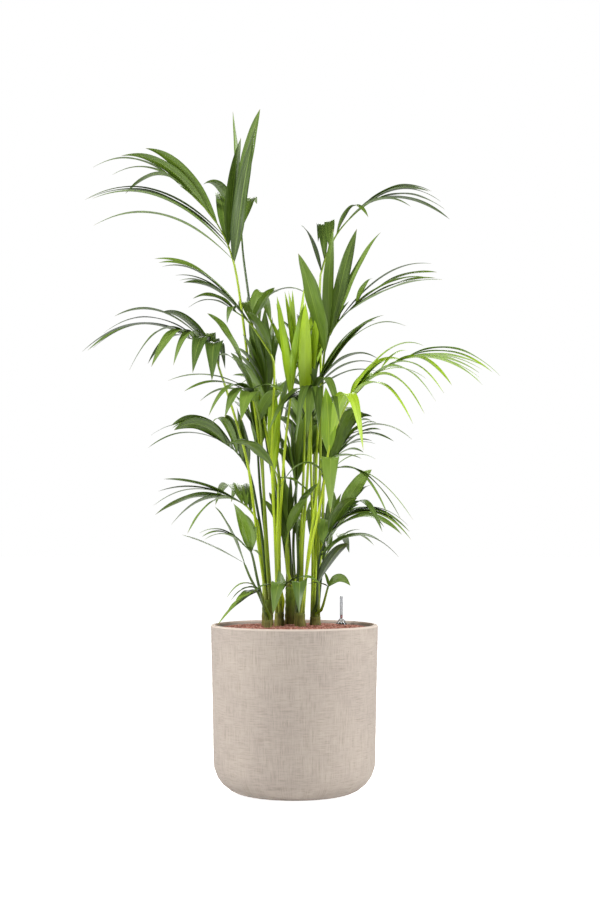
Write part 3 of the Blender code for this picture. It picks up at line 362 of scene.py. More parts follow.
planter = spun("planter_body", thin_inside(rounded(outline, PLANTER_PITCH)), planter_axis, PLANTER_SIDES)


def comb(obj):
    """Push vertical and horizontal comb strokes into the outer wall."""
    for v in obj.data.vertices:
        r = math.hypot(v.co.x, v.co.y)
        if r < 0.02 or v.co.z > rim_z - 0.006 or not is_outside(r, v.co.z):
            continue
        around = math.atan2(v.co.y, v.co.x) * rim_r
        upright = noise.noise(Vector((around / 0.004, v.co.z / 0.045, 3.0)))
        level = noise.noise(Vector((around / 0.040, v.co.z / 0.004, 9.0)))
        patch = noise.noise(Vector((around / 0.05, v.co.z / 0.05, 5.0)))
        push = COMB_DEPTH * (upright * (0.7 + patch) + level * (0.7 - patch))
        v.co.x += push * v.co.x / r
        v.co.y += push * v.co.y / r


comb(planter)


def add_wall_uv(obj):
    """UV in metres: U round the wall, V up it. The seam lies at the back."""
    layer = obj.data.uv_layers.new(name="wall")
    for face in obj.data.polygons:
        angles = []
        for index in face.vertices:
            co = obj.data.vertices[index].co
            angles.append(math.atan2(co.x, -co.y))
        wraps = max(angles) - min(angles) > math.pi
        for loop, index, angle in zip(face.loop_indices, face.vertices, angles):
            co = obj.data.vertices[index].co
            if wraps and angle < 0:
                angle += 2 * math.pi
            up = co.z - math.hypot(co.x, co.y) + rim_r
            layer.data[loop].uv = (angle * rim_r, up)


add_wall_uv(planter)

# %% The planter's finish
def stretched_noise(tree, uv, across, up):
    """Noise in strokes: across and up are the strokes' sizes in metres."""
    mapping = add_node(tree, "ShaderNodeMapping", links={"Vector": uv})
    mapping.inputs["Scale"].default_value = (1 / across, 1 / up, 1.0)
    node = add_node(tree, "ShaderNodeTexNoise", Scale=1.0, Detail=2.0, links={
        "Vector": mapping.outputs["Vector"]})
    return node.outputs["Fac"]


def make_clay():
    mat, tree, shader = new_material("fibre_clay", 0.82, Specular_IOR_Level=0.25)
    uv = add_node(tree, "ShaderNodeUVMap", uv_map="wall").outputs["UV"]
    uprights = mix(tree, 0.5, stretched_noise(tree, uv, 0.0012, 0.020),
                   stretched_noise(tree, uv, 0.0028, 0.060))
    levels = mix(tree, 0.5, stretched_noise(tree, uv, 0.018, 0.0012),
                 stretched_noise(tree, uv, 0.050, 0.0028))
    patches = stretched_noise(tree, uv, 0.05, 0.06)
    choose = ramp(tree, patches, (0.40, 0.25), (0.60, 0.75))
    hatch = mix(tree, choose, uprights, levels)
    clouds = use_mottle(tree, 6.0, (0.300, 0.258, 0.227), (0.352, 0.306, 0.263))
    strokes = ramp(tree, hatch, (0.38, (0.60, 0.57, 0.54)), (0.50, (1.0, 1.0, 1.0)),
                   (0.62, (1.22, 1.20, 1.17)))
    colour = mix(tree, 0.55, clouds.outputs["Colour"], strokes, "MULTIPLY")
    # Small pits: a slight dent in the bump, and a darker colour in them that is painted shade.
    pits = add_node(tree, "ShaderNodeTexVoronoi", Scale=170.0, links={
        "Vector": add_node(tree, "ShaderNodeTexCoord").outputs["Object"]})
    pit_mask = ramp(tree, pits.outputs["Distance"], (0.10, 1.0), (0.17, 0.0))
    sparse = ramp(tree, stretched_noise(tree, uv, 0.006, 0.010), (0.60, 0.0), (0.66, 1.0))
    pit_shade = mix(tree, 1.0, pit_mask, sparse, "MULTIPLY")
    colour = mix(tree, pit_shade, colour, (0.20, 0.165, 0.135))
    height_z = add_node(tree, "ShaderNodeSeparateXYZ", links={
        "Vector": add_node(tree, "ShaderNodeTexCoord").outputs["Object"]}).outputs["Z"]
    # Painted light: the lip is made paler near the rim, where its top faces the lamps.
    lip_painted_light = add_node(tree, "ShaderNodeMapRange", links={"Value": height_z})
    lip_painted_light.inputs["From Min"].default_value = rim_z - LIP_PAINTED_LIGHT_FROM
    lip_painted_light.inputs["From Max"].default_value = rim_z - LIP_PAINTED_LIGHT_FULL
    colour = mix(tree, lip_painted_light.outputs["Result"], colour, (0.50, 0.42, 0.36))
    tree.links.new(colour, shader.inputs["Base Color"])
    first = bump(tree, shader, hatch, 0.0012, 0.9)
    bump(tree, shader, pit_mask, 0.0006, 0.2, under=first)
    return mat


wear(planter, make_clay())
place(planter, "planter")
print("planter:", len(planter.data.polygons), "faces")

# %% [markdown]
# ## The clay granules
# A pot like this is topped with expanded clay, fired and broken: thousands of reddish-brown grains
# with rounded corners. One grain is a low icosphere pushed out of round. It is copied to a loose
# grid over the dome, each copy turned, sized and tinted by a seeded draw, and none inside a stem.

# %% Scatter the grains
GRAIN_R = 0.0031
GRAIN_SPACING = 0.0050
GRAIN_LAYERS = ((0.0, 1.0), (-0.0022, 0.95))
draw = random.Random(11)


def make_grain():
    bpy.ops.object.select_all(action="DESELECT")
    bpy.ops.mesh.primitive_ico_sphere_add(subdivisions=1, radius=1.0)
    grain = bpy.context.object
    for v in grain.data.vertices:
        v.co *= 0.88 + 0.24 * draw.random()
    return grain


def dome_heights():
    """Height of the granules' surface: rings read from the CAD layer, as (radius, height)."""
    rings = {}
    for v in nodes["top_granules"].data.vertices:
        r = round(math.hypot(v.co.x, v.co.y), 3)
        rings[r] = max(rings.get(r, 0.0), v.co.z)
    edge_r = max(rings)
    return edge_r, rings[edge_r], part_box("top_granules")[1].z


edge_r, edge_z, crown_z = dome_heights()


def dome_z(r):
    return crown_z + (edge_z - crown_z) * (r / edge_r) ** 2


obstacles = []
for name in stem_names + ["gauge_cap"]:
    low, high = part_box(name)
    obstacles.append(((low.x + high.x) / 2, (low.y + high.y) / 2, (high.x - low.x) / 2))


def scatter_grains():
    grain = make_grain()
    base = np.array([v.co for v in grain.data.vertices])
    base_faces = np.array([list(p.vertices) for p in grain.data.polygons])
    points, faces, tints = [], [], []
    rows = int(edge_r / (GRAIN_SPACING * 0.87)) + 1
    for layer_drop, fill in GRAIN_LAYERS:
        for row in range(-rows, rows + 1):
            for column in range(-rows, rows + 1):
                x = (column + 0.5 * (row % 2)) * GRAIN_SPACING + draw.uniform(-0.0012, 0.0012)
                y = row * GRAIN_SPACING * 0.87 + draw.uniform(-0.0012, 0.0012)
                size = GRAIN_R * draw.uniform(0.72, 1.12)
                roll = Matrix.Rotation(draw.uniform(0, 6.28), 3, "X")
                turn = roll @ Matrix.Rotation(draw.uniform(0, 6.28), 3, "Z")
                lift = draw.uniform(-0.0006, 0.0012)
                tint = draw.random()
                r = math.hypot(x, y)
                blocked = any(math.hypot(x - ox, y - oy) < reach + size * 0.4 for ox, oy, reach in obstacles)
                if r > edge_r - size * 0.7 or blocked or draw.random() > fill:
                    continue
                shape = base @ np.array(turn).T * size * np.array([1.0, draw.uniform(0.8, 1.0), 1.0])
                faces.append(base_faces + len(points) * len(base))
                points.append(shape + (x, y, dome_z(r) + layer_drop + lift - 0.0005))
                tints += [tint] * len(base)
    mesh = bpy.data.meshes.new("granule_grains")
    mesh.from_pydata(np.concatenate(points).tolist(), [], np.concatenate(faces).tolist())
    attribute = mesh.attributes.new("tint", "FLOAT", "POINT")
    attribute.data.foreach_set("value", tints)
    bpy.data.objects.remove(grain, do_unlink=True)
    grains = bpy.data.objects.new("granule_grains", mesh)
    bpy.context.scene.collection.objects.link(grains)
    return grains


def make_grain_finish():
    mat, tree, shader = new_material("clay_grains", 0.88, Specular_IOR_Level=0.2)
    tint = add_node(tree, "ShaderNodeAttribute", attribute_name="tint").outputs["Fac"]
    fired = ramp(tree, tint, (0.0, (0.17, 0.062, 0.043)), (0.35, (0.33, 0.135, 0.098)),
                 (0.75, (0.45, 0.20, 0.15)), (1.0, (0.58, 0.33, 0.26)))
    dusty = use_mottle(tree, 260.0, (0.62, 0.55, 0.52), (1.0, 1.0, 1.0))
    tree.links.new(mix(tree, 0.8, fired, dusty.outputs["Colour"], "MULTIPLY"), shader.inputs["Base Color"])
    bump(tree, shader, dusty.outputs["Height"], 0.0006, 0.8)
    return mat


grain_finish = make_grain_finish()
grains = scatter_grains()
wear(grains, grain_finish)
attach(grains, "root")


def make_bed_finish():
    mat, tree, shader = new_material("granule_bed", 0.95, Specular_IOR_Level=0.1)
    # The bed is darker than the grains: the grains' own brown, with painted shade of the gaps between them.
    lumps_and_gap_shade = use_mottle(tree, 220.0, (0.05, 0.018, 0.012), (0.20, 0.075, 0.05))
    tree.links.new(lumps_and_gap_shade.outputs["Colour"], shader.inputs["Base Color"])
    bump(tree, shader, lumps_and_gap_shade.outputs["Height"], 0.003, 1.0)
    return mat


bed_finish = make_bed_finish()
wear(nodes["top_granules"], bed_finish)
wear(nodes["fill_granules"], bed_finish)
print("grains:", len(grains.data.polygons) // 20, "of 20 faces")

# %% [markdown]
# ## What the planter hides
# The culture pot is thin black moulded plastic, and the root ball is peat laced with roots. They
# keep their CAD shapes, which are right, and only need their own finishes.

# %% Culture pot and root ball
def make_plain_finish(name, scale, dark, light, roughness, depth):
    mat, tree, shader = new_material(name, roughness)
    mottled = use_mottle(tree, scale, dark, light)
    tree.links.new(mottled.outputs["Colour"], shader.inputs["Base Color"])
    bump(tree, shader, mottled.outputs["Height"], depth, 0.6)
    return mat


wear(nodes["culture_pot"], make_plain_finish(
    "culture_plastic", 90.0, (0.018, 0.018, 0.018), (0.035, 0.035, 0.034), 0.55, 0.0002))
wear(nodes["root_ball"], make_plain_finish(
    "peat_and_roots", 70.0, (0.03, 0.017, 0.01), (0.17, 0.10, 0.055), 0.95, 0.004))

# %% [markdown]
# ## The water gauge
# A clear cap with a thin sight tube stands on the gauge's grey tube, and a red-tipped rod rises
# inside it as the water rises. All are turned. The clear plastic is a glass-like shader with a low
# roughness, clear enough for the red tip to be read at any height, with a faint tint.

# %% Spin the gauge's pieces
GAUGE_SIDES = 40


def make_clear_plastic():
    """Clear above, with a dark ring at its foot: painted shade where it stands in the granules."""
    mat, tree, shader = new_material("clear_plastic", 0.04, Transmission_Weight=0.93, IOR=1.45)
    haze = use_mottle(tree, 120.0, (0.86, 0.87, 0.90), (0.96, 0.97, 0.98))
    height = add_node(tree, "ShaderNodeSeparateXYZ", links={
        "Vector": add_node(tree, "ShaderNodeTexCoord").outputs["Object"]}).outputs["Z"]
    # Painted shade: a dark band at the cap's foot, where it meets the granules.
    foot_shade = add_node(tree, "ShaderNodeMapRange", links={"Value": height})
    foot_shade.inputs["From Min"].default_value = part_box("gauge_cap")[0].z + 0.0035
    foot_shade.inputs["From Max"].default_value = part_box("gauge_cap")[0].z + 0.0020
    colour = mix(tree, foot_shade.outputs["Result"], haze.outputs["Colour"], (0.03, 0.035, 0.06))
    tree.links.new(colour, shader.inputs["Base Color"])
    return mat


def make_float_finish():
    """Red at the tip, white along the rod and the float body."""
    mat, tree, shader = new_material("gauge_float_plastic", 0.42)
    height = add_node(tree, "ShaderNodeSeparateXYZ", links={
        "Vector": add_node(tree, "ShaderNodeTexCoord").outputs["Object"]}).outputs["Z"]
    tip = add_node(tree, "ShaderNodeMapRange", links={"Value": height})
    tip.inputs["From Min"].default_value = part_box("gauge_float")[1].z - 0.0090
    tip.inputs["From Max"].default_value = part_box("gauge_float")[1].z - 0.0085
    worn = use_mottle(tree, 300.0, (0.62, 0.62, 0.62), (0.82, 0.82, 0.80))
    red = mix(tree, tip.outputs["Result"], worn.outputs["Colour"], (0.42, 0.02, 0.018))
    tree.links.new(red, shader.inputs["Base Color"])
    bump(tree, shader, worn.outputs["Height"], 0.0001, 0.4)
    return mat


def make_turned(node, sides, pitch, finish, body="root"):
    outline, axis = profile_of(node)
    piece = spun(node + "_turned", rounded(outline, pitch), axis, sides)
    wear(piece, finish)
    place(piece, node, body)
    return piece


make_turned("gauge_cap", GAUGE_SIDES, 0.002, make_clear_plastic())
make_turned("gauge_float", GAUGE_SIDES, 0.003, make_float_finish(), body="gauge_float")
wear(nodes["gauge_tube"], make_plain_finish(
    "gauge_tube_plastic", 150.0, (0.30, 0.31, 0.33), (0.42, 0.43, 0.44), 0.45, 0.0001))

# %% [markdown]
# ## The stems
# Each palm stands on a short stem that old leaves have left ringed with pale scars, with dry brown
# fibre between them. The CAD profile already has the rings. Here it is spun rounder, and the mesh is
# made a little uneven, as grown things are.

# %% Spin and roughen the stems
STEM_SIDES = 28


def make_stem_finish():
    mat, tree, shader = new_material("ringed_stem", 0.7, Specular_IOR_Level=0.3)
    coords = add_node(tree, "ShaderNodeTexCoord").outputs["Object"]
    tall = add_node(tree, "ShaderNodeMapping", links={"Vector": coords})
    tall.inputs["Scale"].default_value = (1.0, 1.0, 0.06)
    fibre = use_mottle(tree, 190.0, (0.010, 0.010, 0.003), (0.27, 0.22, 0.055), tall.outputs["Vector"])
    height = add_node(tree, "ShaderNodeSeparateXYZ", links={"Vector": coords}).outputs["Z"]
    green = add_node(tree, "ShaderNodeMapRange", links={"Value": height})
    green.inputs["From Min"].default_value = crown_z
    green.inputs["From Max"].default_value = crown_z + 0.06
    fresh = use_mottle(tree, 150.0, (0.010, 0.022, 0.002), (0.19, 0.27, 0.018), tall.outputs["Vector"])
    colour = mix(tree, green.outputs["Result"], fibre.outputs["Colour"], fresh.outputs["Colour"])
    tree.links.new(colour, shader.inputs["Base Color"])
    bump(tree, shader, fibre.outputs["Height"], 0.0012, 0.9)
    return mat


stem_finish = make_stem_finish()
for name in stem_names:
    stem = make_turned(name, STEM_SIDES, 0.004, stem_finish)
    for v in stem.data.vertices:
        swell = noise.noise(v.co * 90.0) * 0.0007
        v.co += v.normal * swell

# %% [markdown]
# ## Reading a frond back from the frame
# A CAD frond is one solid: a tube for stalk and rachis, joined to leaflets of three-sided section.
# A leaflet's tip is a sharp spike, so it is found first. Its next rings of three corners give the
# blade's width and tilt, and the curve through their middles is a quadratic Bezier, whose start
# lies on the rachis. The stalk is read as rings of six, and the leaflets' starts give the rachis.
# The CAD has only some of a frond's leaflets, so more are added between neighbours. Those extra
# ones are in the looks alone: the collision doesn't have them.

# %% Measure the leaflets and the stalk
SPIKE_ANGLE = math.radians(130)
RING_SHARES = (0.8, 0.55, 0.3)
STALK_SIDES = 6
IN_BETWEEN_ANGLE = math.radians(38)
TOP_Z = 1.2
TOP_SHARE = 0.15
LOWER_SHARE = 0.9


def read_leaflet(tip, used):
    """Bezier points, width and sideways direction of the leaflet that ends at this tip."""
    seen, front, sections = {tip}, {tip}, []
    for share in RING_SHARES:
        front = {e.other_vert(v) for v in front for e in v.link_edges} - seen
        if len(front) != 3:
            break
        seen |= front
        corners = [v.co.copy() for v in front]
        pairs = [(corners[i], corners[j], corners[3 - i - j]) for i, j in ((0, 1), (0, 2), (1, 2))]
        left, right, ridge = max(pairs, key=lambda p: (p[0] - p[1]).length)
        middle = (left + right) / 2
        sections.append((share, middle, (left - right), (ridge - middle).normalized()))
    if len(sections) < 2:
        return None
    used |= seen
    end = tip.co.copy()
    weights = np.array([[(1 - s) ** 2, 2 * s * (1 - s)] for s, _, _, _ in sections])
    values = np.array([list(m - end * s * s) for s, m, _, _ in sections])
    (base, control), *_ = np.linalg.lstsq(weights, values, rcond=None)
    widest = max(sections, key=lambda s: s[2].length)
    return dict(base=Vector(base), control=Vector(control), tip=end, width=widest[2].length,
                side=widest[2].normalized(), up=widest[3])


def read_stalk(bm, used):
    """Middles of the stalk's rings, from its foot to where the first leaflet cuts into it."""
    free = [v for v in bm.verts if v not in used]
    levels = {}
    for v in free:
        levels.setdefault(round(v.co.z, 5), set()).add(v)
    front = levels[min(z for z, level in levels.items() if len(level) == STALK_SIDES)]
    seen, rings = set(), []
    while len(front) == STALK_SIDES:
        middle = sum((v.co for v in front), Vector()) / STALK_SIDES
        rings.append((middle, (next(iter(front)).co - middle).length))
        seen |= front
        front = {e.other_vert(v) for v in front for e in v.link_edges} - seen
    return rings


def read_frond(name):
    bm = bmesh.new()
    bm.from_mesh(nodes[name].data)
    bmesh.ops.remove_doubles(bm, verts=bm.verts, dist=0.000002)
    used, leaflets = set(), []
    for v in bm.verts:
        if sum(loop.calc_angle() for loop in v.link_loops) < SPIKE_ANGLE:
            leaf = read_leaflet(v, used)
            if leaf:
                leaflets.append(leaf)
    rings = read_stalk(bm, used)
    bm.free()
    return rings, leaflets


def in_between(leaflets, chance):
    """More leaflets, each between one and its nearest. The tallest fronds stay open."""
    pairs = set()
    for i, leaf in enumerate(leaflets):
        others = [k for k in range(len(leaflets)) if k != i]
        if others:
            nearest = min(others, key=lambda k: (leaflets[k]["base"] - leaf["base"]).length
                          + (leaflets[k]["tip"] - leaf["tip"]).length)
            pairs.add((min(i, nearest), max(i, nearest)))
    more = []
    for i, k in sorted(pairs):
        a, b = leaflets[i], leaflets[k]
        wanted = chance.random() < (TOP_SHARE if a["base"].z > TOP_Z else LOWER_SHARE)
        if not wanted or (a["tip"] - a["base"]).angle(b["tip"] - b["base"]) > IN_BETWEEN_ANGLE:
            continue
        leaf = {key: (a[key] + b[key]) / 2 for key in ("base", "control", "tip", "width", "up")}
        flip = -1 if a["side"].dot(b["side"]) < 0 else 1
        leaf["side"] = (a["side"] + b["side"] * flip).normalized()
        more.append(leaf)
    return more


measured = {name: read_frond(name) for name in frond_names}
print("leaflets found:", sum(len(leaflets) for _, leaflets in measured.values()))
print("stalk rings:", {name: len(rings) for name, (rings, _) in measured.items()})

# %% [markdown]
# ## One blade, made once
# A kentia leaflet is a long lance: narrow where it joins, widest at a third, and drawn out to a fine
# tip. It folds down on both sides of its midrib and has a few shallow pleats. It is shaped once from
# a grid, with U across and V along, and each leaflet is a copy bent along its own curve.

# %% Shape the master blade
BLADE_COLUMNS = 8
BLADE_ROWS = 22
BLADE_FOLD = 0.15      # how far the edges hang, against the half width
BLADE_PLEAT = 0.035


def blade_width(v):
    """Half width along the blade, against the widest. v runs from 0 at the base to 1 at the tip."""
    if v < 0.34:
        return 0.10 + 0.90 * math.sin(v / 0.34 * math.pi / 2) ** 0.85
    return max(0.0, 1 - ((v - 0.34) / 0.66) ** 2.1)


def make_master_blade():
    """A grid from -1 to 1 across and 0 to 1 along. Its height is in half widths."""
    bpy.ops.object.select_all(action="DESELECT")
    bpy.ops.mesh.primitive_grid_add(x_subdivisions=BLADE_COLUMNS, y_subdivisions=BLADE_ROWS, size=2,
                                    calc_uvs=True)
    blade = bpy.context.object
    blade.name = "master_blade"
    bpy.ops.object.mode_set(mode="EDIT")
    bpy.ops.transform.resize(value=(1.0, 0.5, 1.0))
    bpy.ops.transform.translate(value=(0.0, 0.5, 0.0))
    bpy.ops.object.mode_set(mode="OBJECT")
    for v in blade.data.vertices:
        across = v.co.x
        v.co.z = -BLADE_FOLD * abs(across) ** 1.2 + BLADE_PLEAT * math.cos(across * 3 * math.pi)
    settle(blade)
    return blade


master_blade = make_master_blade()

# %% [markdown]
# ## Fronds
# A copy of the blade follows each leaflet's curve. Seeded draws add what grows differently on each
# one: a twist, a wave along the edges, a heavier droop, and its own tint. The copies are joined, and
# a thin Solidify gives them a leaf's thickness, so that the piece is a closed body.

# %% Bend a copy of the blade along a leaflet
LEAF_THICKNESS = 0.00035
FROND_TINT_SHARE = 0.5   # how far a leaflet takes its whole frond's tint
WIDTH_GAIN = 1.25      # wider than the CAD leaflet, chosen so that the crown looks full
grid_points = np.array([v.co for v in master_blade.data.vertices])


def bend_blade(leaf, chance):
    """Vertices of the master blade, laid along a leaflet's curve."""
    base, control, tip = (np.array(leaf[k]) for k in ("base", "control", "tip"))
    length = np.linalg.norm(tip - base)
    side0 = np.array(leaf["side"])
    up0 = np.cross(side0, tip - base)
    up0 *= np.sign(up0.dot(np.array(leaf["up"])))
    twist = chance.gauss(0, 0.22)
    wave = chance.uniform(0.0, 0.10)
    phase = chance.uniform(0, 6.28)
    droop = chance.uniform(0.0, 0.05) * length
    sway = chance.gauss(0, 0.012) * length
    width_draw = chance.uniform(0.92, 1.12)
    result = np.empty_like(grid_points)
    for i, (x, v, h) in enumerate(grid_points):
        centre = (1 - v) ** 2 * base + 2 * v * (1 - v) * control + v * v * tip
        along = (1 - v) * (control - base) + v * (tip - control)
        along /= np.linalg.norm(along)
        up = up0 - along * up0.dot(along)
        up /= np.linalg.norm(up)
        side = np.cross(along, up)
        turn = twist * v * v * 2
        side, up = side * math.cos(turn) + up * math.sin(turn), up * math.cos(turn) - side * math.sin(turn)
        half = leaf["width"] / 2 * WIDTH_GAIN * width_draw * blade_width(v)
        ripple = wave * abs(x) * math.sin(v * 14 + phase + (1.5 if x > 0 else 0))
        centre = centre + side0 * sway * math.sin(v * math.pi)
        centre[2] -= droop * max(0.0, v - 0.55) ** 2 * 4 * (1 - v * 0.3)
        result[i] = centre + side * x * half + up * (h + ripple) * half
    return result


def make_blades(name, leaflets, chance, finishes):
    """All of a frond's leaflets as one mesh, with a tint and a UV that runs with the blade.

    The first finish is for the upper side, and the second for the underside.
    """
    copies = []
    frond_tint = chance.random()
    for leaf in leaflets:
        blade = master_blade.copy()
        blade.data = master_blade.data.copy()
        bpy.context.scene.collection.objects.link(blade)
        blade.data.vertices.foreach_set("co", bend_blade(leaf, chance).ravel())
        tint = blade.data.attributes.new("tint", "FLOAT", "POINT")
        own = FROND_TINT_SHARE * frond_tint + (1 - FROND_TINT_SHARE) * chance.random()
        tint.data.foreach_set("value", [own] * len(blade.data.vertices))
        copies.append(blade)
    only(copies[0])
    for blade in copies:
        blade.select_set(True)
    bpy.ops.object.join()
    piece = copies[0]
    piece.name = name
    wear(piece, *finishes)
    thick = piece.modifiers.new("thickness", "SOLIDIFY")
    thick.thickness = LEAF_THICKNESS
    thick.offset = 0.0
    thick.material_offset = 1
    apply_modifiers(piece)
    bpy.ops.object.shade_smooth_by_angle(angle=math.radians(60))
    return piece


# %% Stalk and rachis as one tapering tube
RACHIS_END_R = 0.0011
STALK_PITCH = 0.012
SHEATH_LENGTH = 0.06
SHEATH_SWELL = 1.2     # a stalk's sheathing foot, against the CAD tube


def rachis_line(rings, leaflets):
    """Stations from the foot to the end: (point, radius)."""
    line = list(rings)
    here = line[-1][0]
    left = [leaf["base"] for leaf in leaflets]
    bases = []
    while left:
        nearest = min(left, key=lambda p: (p - here).length)
        left.remove(nearest)
        if (nearest - here).length > 0.002:
            bases.append(nearest)
            here = nearest
    start_r = line[-1][1]
    for i, point in enumerate(bases):
        line.append((point, start_r + (RACHIS_END_R - start_r) * (i + 1) / len(bases)))
    return line


def curve_through(line):
    """A smooth line through the stations, as points about STALK_PITCH apart with their radii."""
    points = [p for p, _ in line]
    radii = [r for _, r in line]
    result = []
    for i in range(len(points) - 1):
        before, after = points[max(i - 1, 0)], points[min(i + 2, len(points) - 1)]
        start, end = points[i], points[i + 1]
        reach = (end - start).length
        leave = (end - before).normalized() * reach
        arrive = (after - start).normalized() * reach
        pieces = max(1, round(reach / STALK_PITCH))
        for k in range(pieces):
            t = k / pieces
            point = ((2 * t ** 3 - 3 * t ** 2 + 1) * start + (t ** 3 - 2 * t ** 2 + t) * leave
                     + (3 * t ** 2 - 2 * t ** 3) * end + (t ** 3 - t ** 2) * arrive)
            result.append((point, radii[i] + (radii[i + 1] - radii[i]) * t))
    result.append((points[-1], radii[-1]))
    return result


def make_stalk(name, line, tint):
    """A bevelled curve along the line, swollen at its sheathing foot, made a mesh."""
    curve = bpy.data.curves.new(name, "CURVE")
    curve.dimensions = "3D"
    curve.bevel_depth = 1.0
    curve.bevel_resolution = 2
    curve.use_fill_caps = True
    spline = curve.splines.new("POLY")
    stations = curve_through(line)
    spline.points.add(len(stations) - 1)
    travelled = 0.0
    for i, (point, radius) in enumerate(stations):
        if i:
            travelled += (point - stations[i - 1][0]).length
        swell = 1 + (SHEATH_SWELL - 1) * max(0.0, 1 - travelled / SHEATH_LENGTH) ** 0.8
        spline.points[i].co = (*point, 1.0)
        spline.points[i].radius = radius * swell
    stalk = bpy.data.objects.new(name, curve)
    bpy.context.scene.collection.objects.link(stalk)
    only(stalk)
    bpy.ops.object.convert(target="MESH")
    bpy.ops.object.mode_set(mode="EDIT")
    bpy.ops.mesh.select_all(action="SELECT")
    bpy.ops.mesh.remove_doubles(threshold=0.00001)
    bpy.ops.mesh.normals_make_consistent(inside=False)
    bpy.ops.object.mode_set(mode="OBJECT")
    bpy.ops.object.shade_smooth_by_angle(angle=math.radians(50))
    add_stalk_attributes(stalk, stations, tint)
    return stalk


def add_stalk_attributes(stalk, stations, tint):
    """How far along each point lies, 0 at the foot and 1 at the end, and the stalk's own tint."""
    centres = np.array([p for p, _ in stations])
    shares = np.linspace(0, 1, len(centres))
    attribute = stalk.data.attributes.new("along", "FLOAT", "POINT")
    values = [shares[((centres - np.array(v.co)) ** 2).sum(1).argmin()] for v in stalk.data.vertices]
    attribute.data.foreach_set("value", values)
    attribute = stalk.data.attributes.new("tint", "FLOAT", "POINT")
    attribute.data.foreach_set("value", [tint] * len(values))


# %% [markdown]
# ## Leaf finishes
# Old leaflets are deep green and satin above, and paler and duller below. New ones are a bright
# yellow-green. Fine veins run lengthwise, the midrib is paler, the tips are a little dry, and the
# colour drifts from leaflet to leaflet. Stalks range from yellow-green to deep green.

# %% Leaf and stalk finishes
def make_leaf_finish(name, dark, light, rib, roughness):
    mat, tree, shader = new_material(name, roughness, Specular_IOR_Level=0.50)
    uv = add_node(tree, "ShaderNodeUVMap", uv_map="UVMap").outputs["UV"]
    tint = add_node(tree, "ShaderNodeAttribute", attribute_name="tint").outputs["Fac"]
    veins = add_node(tree, "ShaderNodeGroup", node_tree=VEINS, links={"UV": uv})
    veins.inputs["Count"].default_value = 14.0
    veins.inputs["Length"].default_value = 1.2
    drift = mix(tree, 0.35, tint, veins.outputs["Patches"])
    green = ramp(tree, drift, (0.28, dark), (0.80, light))
    lined = mix(tree, ramp(tree, veins.outputs["Lines"], (0.42, 0.0), (0.66, 0.22)), green, rib)
    across = add_node(tree, "ShaderNodeSeparateXYZ", links={"Vector": uv})
    off_rib = add_node(tree, "ShaderNodeMath", operation="SUBTRACT", links={0: across.outputs["X"]})
    off_rib.inputs[1].default_value = 0.5
    distance = add_node(tree, "ShaderNodeMath", operation="ABSOLUTE", links={0: off_rib.outputs[0]})
    midrib = ramp(tree, distance.outputs[0], (0.012, 0.55), (0.035, 0.0))
    colour = mix(tree, midrib, lined, rib)
    dry = ramp(tree, across.outputs["Y"], (0.955, 0.0), (0.99, 0.8))
    colour = mix(tree, mix(tree, 1.0, dry, tint, "MULTIPLY"), colour, (0.30, 0.20, 0.07))
    tree.links.new(colour, shader.inputs["Base Color"])
    gloss = ramp(tree, veins.outputs["Patches"], (0.35, roughness - 0.06), (0.65, roughness + 0.10))
    tree.links.new(gloss, shader.inputs["Roughness"])
    bump(tree, shader, veins.outputs["Lines"], 0.0002, 0.2)
    return mat


def make_stalk_finish(name, foot, deep, bright, end):
    mat, tree, shader = new_material(name, 0.36, Specular_IOR_Level=0.5)
    along = add_node(tree, "ShaderNodeAttribute", attribute_name="along").outputs["Fac"]
    tint = add_node(tree, "ShaderNodeAttribute", attribute_name="tint").outputs["Fac"]
    own = ramp(tree, tint, (0.15, deep), (0.75, bright))
    lower = mix(tree, ramp(tree, along, (0.0, 0.0), (0.10, 1.0)), foot, own)
    green = mix(tree, ramp(tree, along, (0.70, 0.0), (1.0, 1.0)), lower, end)
    coords = add_node(tree, "ShaderNodeTexCoord").outputs["Object"]
    tall = add_node(tree, "ShaderNodeMapping", links={"Vector": coords})
    tall.inputs["Scale"].default_value = (1.0, 1.0, 0.10)
    streaks = use_mottle(tree, 210.0, (0.60, 0.64, 0.50), (1.0, 1.0, 1.0), tall.outputs["Vector"])
    colour = mix(tree, 0.7, green, streaks.outputs["Colour"], "MULTIPLY")
    tree.links.new(colour, shader.inputs["Base Color"])
    bump(tree, shader, streaks.outputs["Height"], 0.0004, 0.5)
    return mat


leaf_finishes = {
    "palm_leaf": (
        make_leaf_finish("leaf_mature", (0.007, 0.023, 0.0010), (0.125, 0.215, 0.014),
                         (0.19, 0.28, 0.04), 0.36),
        make_leaf_finish("leaf_mature_under", (0.040, 0.085, 0.006), (0.165, 0.265, 0.026),
                         (0.22, 0.30, 0.05), 0.50)),
    "palm_leaf_young": (
        make_leaf_finish("leaf_young", (0.13, 0.25, 0.003), (0.33, 0.49, 0.006),
                         (0.40, 0.54, 0.03), 0.40),
        make_leaf_finish("leaf_young_under", (0.22, 0.36, 0.005), (0.38, 0.54, 0.010),
                         (0.44, 0.57, 0.05), 0.52)),
}
stalk_finishes = {
    "palm_leaf": make_stalk_finish("stalk_mature", (0.13, 0.14, 0.015), (0.026, 0.058, 0.003),
                                   (0.36, 0.48, 0.008), (0.07, 0.13, 0.012)),
    "palm_leaf_young": make_stalk_finish("stalk_young", (0.24, 0.27, 0.02), (0.28, 0.39, 0.006),
                                         (0.46, 0.57, 0.010), (0.22, 0.36, 0.012)),
}

